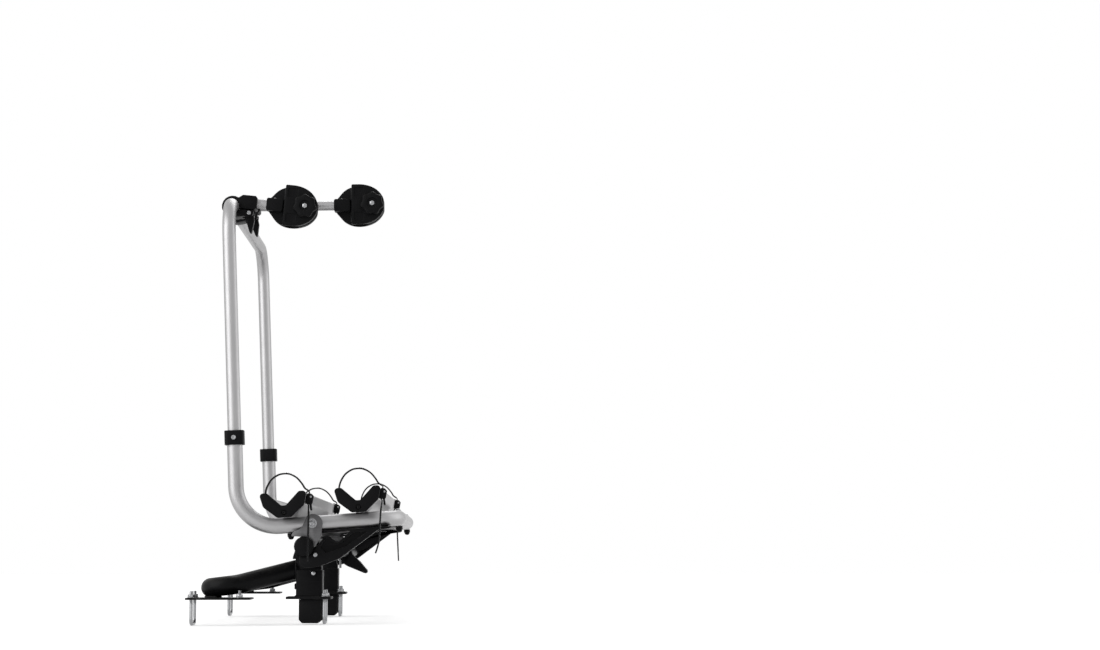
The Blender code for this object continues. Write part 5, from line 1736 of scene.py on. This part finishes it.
def floor_material():
    """Pale floor that glows to the camera until it meets the white behind it."""
    material, tree, shader = start_material("carrier_floor", FLOOR_COLOUR)
    point = object_point(tree)
    rough = ramp(tree, noise(tree, point, 3.0, detail=3.0), 0.3, 0.7, low=0.82, high=0.9)
    tree.links.new(rough, shader.inputs["Roughness"])
    shader.inputs["Emission Color"].default_value = WHITE
    reach = add_node(tree, "ShaderNodeVectorMath", {0: point}, operation="LENGTH").outputs["Value"]
    glow = multiplied(tree, seen_rays(tree), ramp(tree, reach, 1.0, 4.5, low=0.50, high=0.74))
    tree.links.new(glow, shader.inputs["Emission Strength"])
    return material


def make_floor(size):
    bm = bmesh.new()
    bmesh.ops.create_grid(bm, x_segments=8, y_segments=8, size=size * 0.5)
    mesh = bpy.data.meshes.new("stage_floor")
    bm.to_mesh(mesh)
    bm.free()
    mesh.materials.append(floor_material())
    floor = bpy.data.objects.new("stage_floor", mesh)
    floor.location = (0.0, 0.0, CAD_LOW[2] - FLOOR_GAP)
    bpy.context.collection.objects.link(floor)


def make_camera(settings):
    lens = bpy.data.cameras.new("carrier_camera")
    lens.lens = settings.lens
    lens.sensor_width = SENSOR_WIDTH
    lens.clip_end = 60.0
    camera = bpy.data.objects.new("carrier_camera", lens)
    camera.location = settings.camera_place
    camera.rotation_euler = (math.radians(90.0) + settings.camera_pitch, 0.0, -settings.camera_yaw)
    bpy.context.collection.objects.link(camera)
    bpy.context.scene.camera = camera


class CARRIER_OT_stage(bpy.types.Operator):
    """Set up the camera, the floor and the lights"""
    bl_idname = "carrier.stage"
    bl_label = "Stage"

    def execute(self, context):
        settings = context.scene.carrier_stage
        make_camera(settings)
        context.scene.view_settings.view_transform = "Standard"
        make_floor(settings.floor_size)
        make_surround(settings.surround)
        for name, lamp in LAMPS.items():
            area_light(name + "_light", power=getattr(settings, name + "_power"), **lamp)
        return {"FINISHED"}


# Panel and registration

OPERATORS = (
    CARRIER_OT_finishes,
    CARRIER_OT_tubes,
    CARRIER_OT_soft_edges,
    CARRIER_OT_collars,
    CARRIER_OT_welds,
    CARRIER_OT_u_bolts,
    CARRIER_OT_screws,
    CARRIER_OT_rails,
    CARRIER_OT_caps,
    CARRIER_OT_straps,
    CARRIER_OT_buckles,
    CARRIER_OT_claws,
    CARRIER_OT_knobs,
    CARRIER_OT_pedal,
    CARRIER_OT_stage,
)


class CARRIER_PT_panel(bpy.types.Panel):
    """List the steps and the settings of the carrier"""
    bl_label = "Bicycle Carrier"
    bl_idname = "CARRIER_PT_panel"
    bl_space_type = "VIEW_3D"
    bl_region_type = "UI"
    bl_category = "Carrier"

    def draw(self, context):
        layout = self.layout
        for step in OPERATORS:
            layout.operator(step.bl_idname)
        for settings in SETTINGS:
            group = getattr(context.scene, settings)
            box = layout.box()
            for name in group.bl_rna.properties.keys():
                if name not in {"rna_type", "name"}:
                    box.prop(group, name)


SETTINGS = {
    "carrier_finish": CarrierFinishSettings,
    "carrier_detail": CarrierDetailSettings,
    "carrier_stage": CarrierStageSettings,
}
CLASSES = tuple(SETTINGS.values()) + OPERATORS + (CARRIER_PT_panel,)


def register():
    for thing in CLASSES:
        bpy.utils.register_class(thing)
    for name, group in SETTINGS.items():
        setattr(bpy.types.Scene, name, bpy.props.PointerProperty(type=group))


def unregister():
    for name in SETTINGS:
        delattr(bpy.types.Scene, name)
    for thing in reversed(CLASSES):
        bpy.utils.unregister_class(thing)


def main():
    register()
    for step in OPERATORS:
        area, name = step.bl_idname.split(".")
        getattr(getattr(bpy.ops, area), name)()


if __name__ == "__main__":
    main()
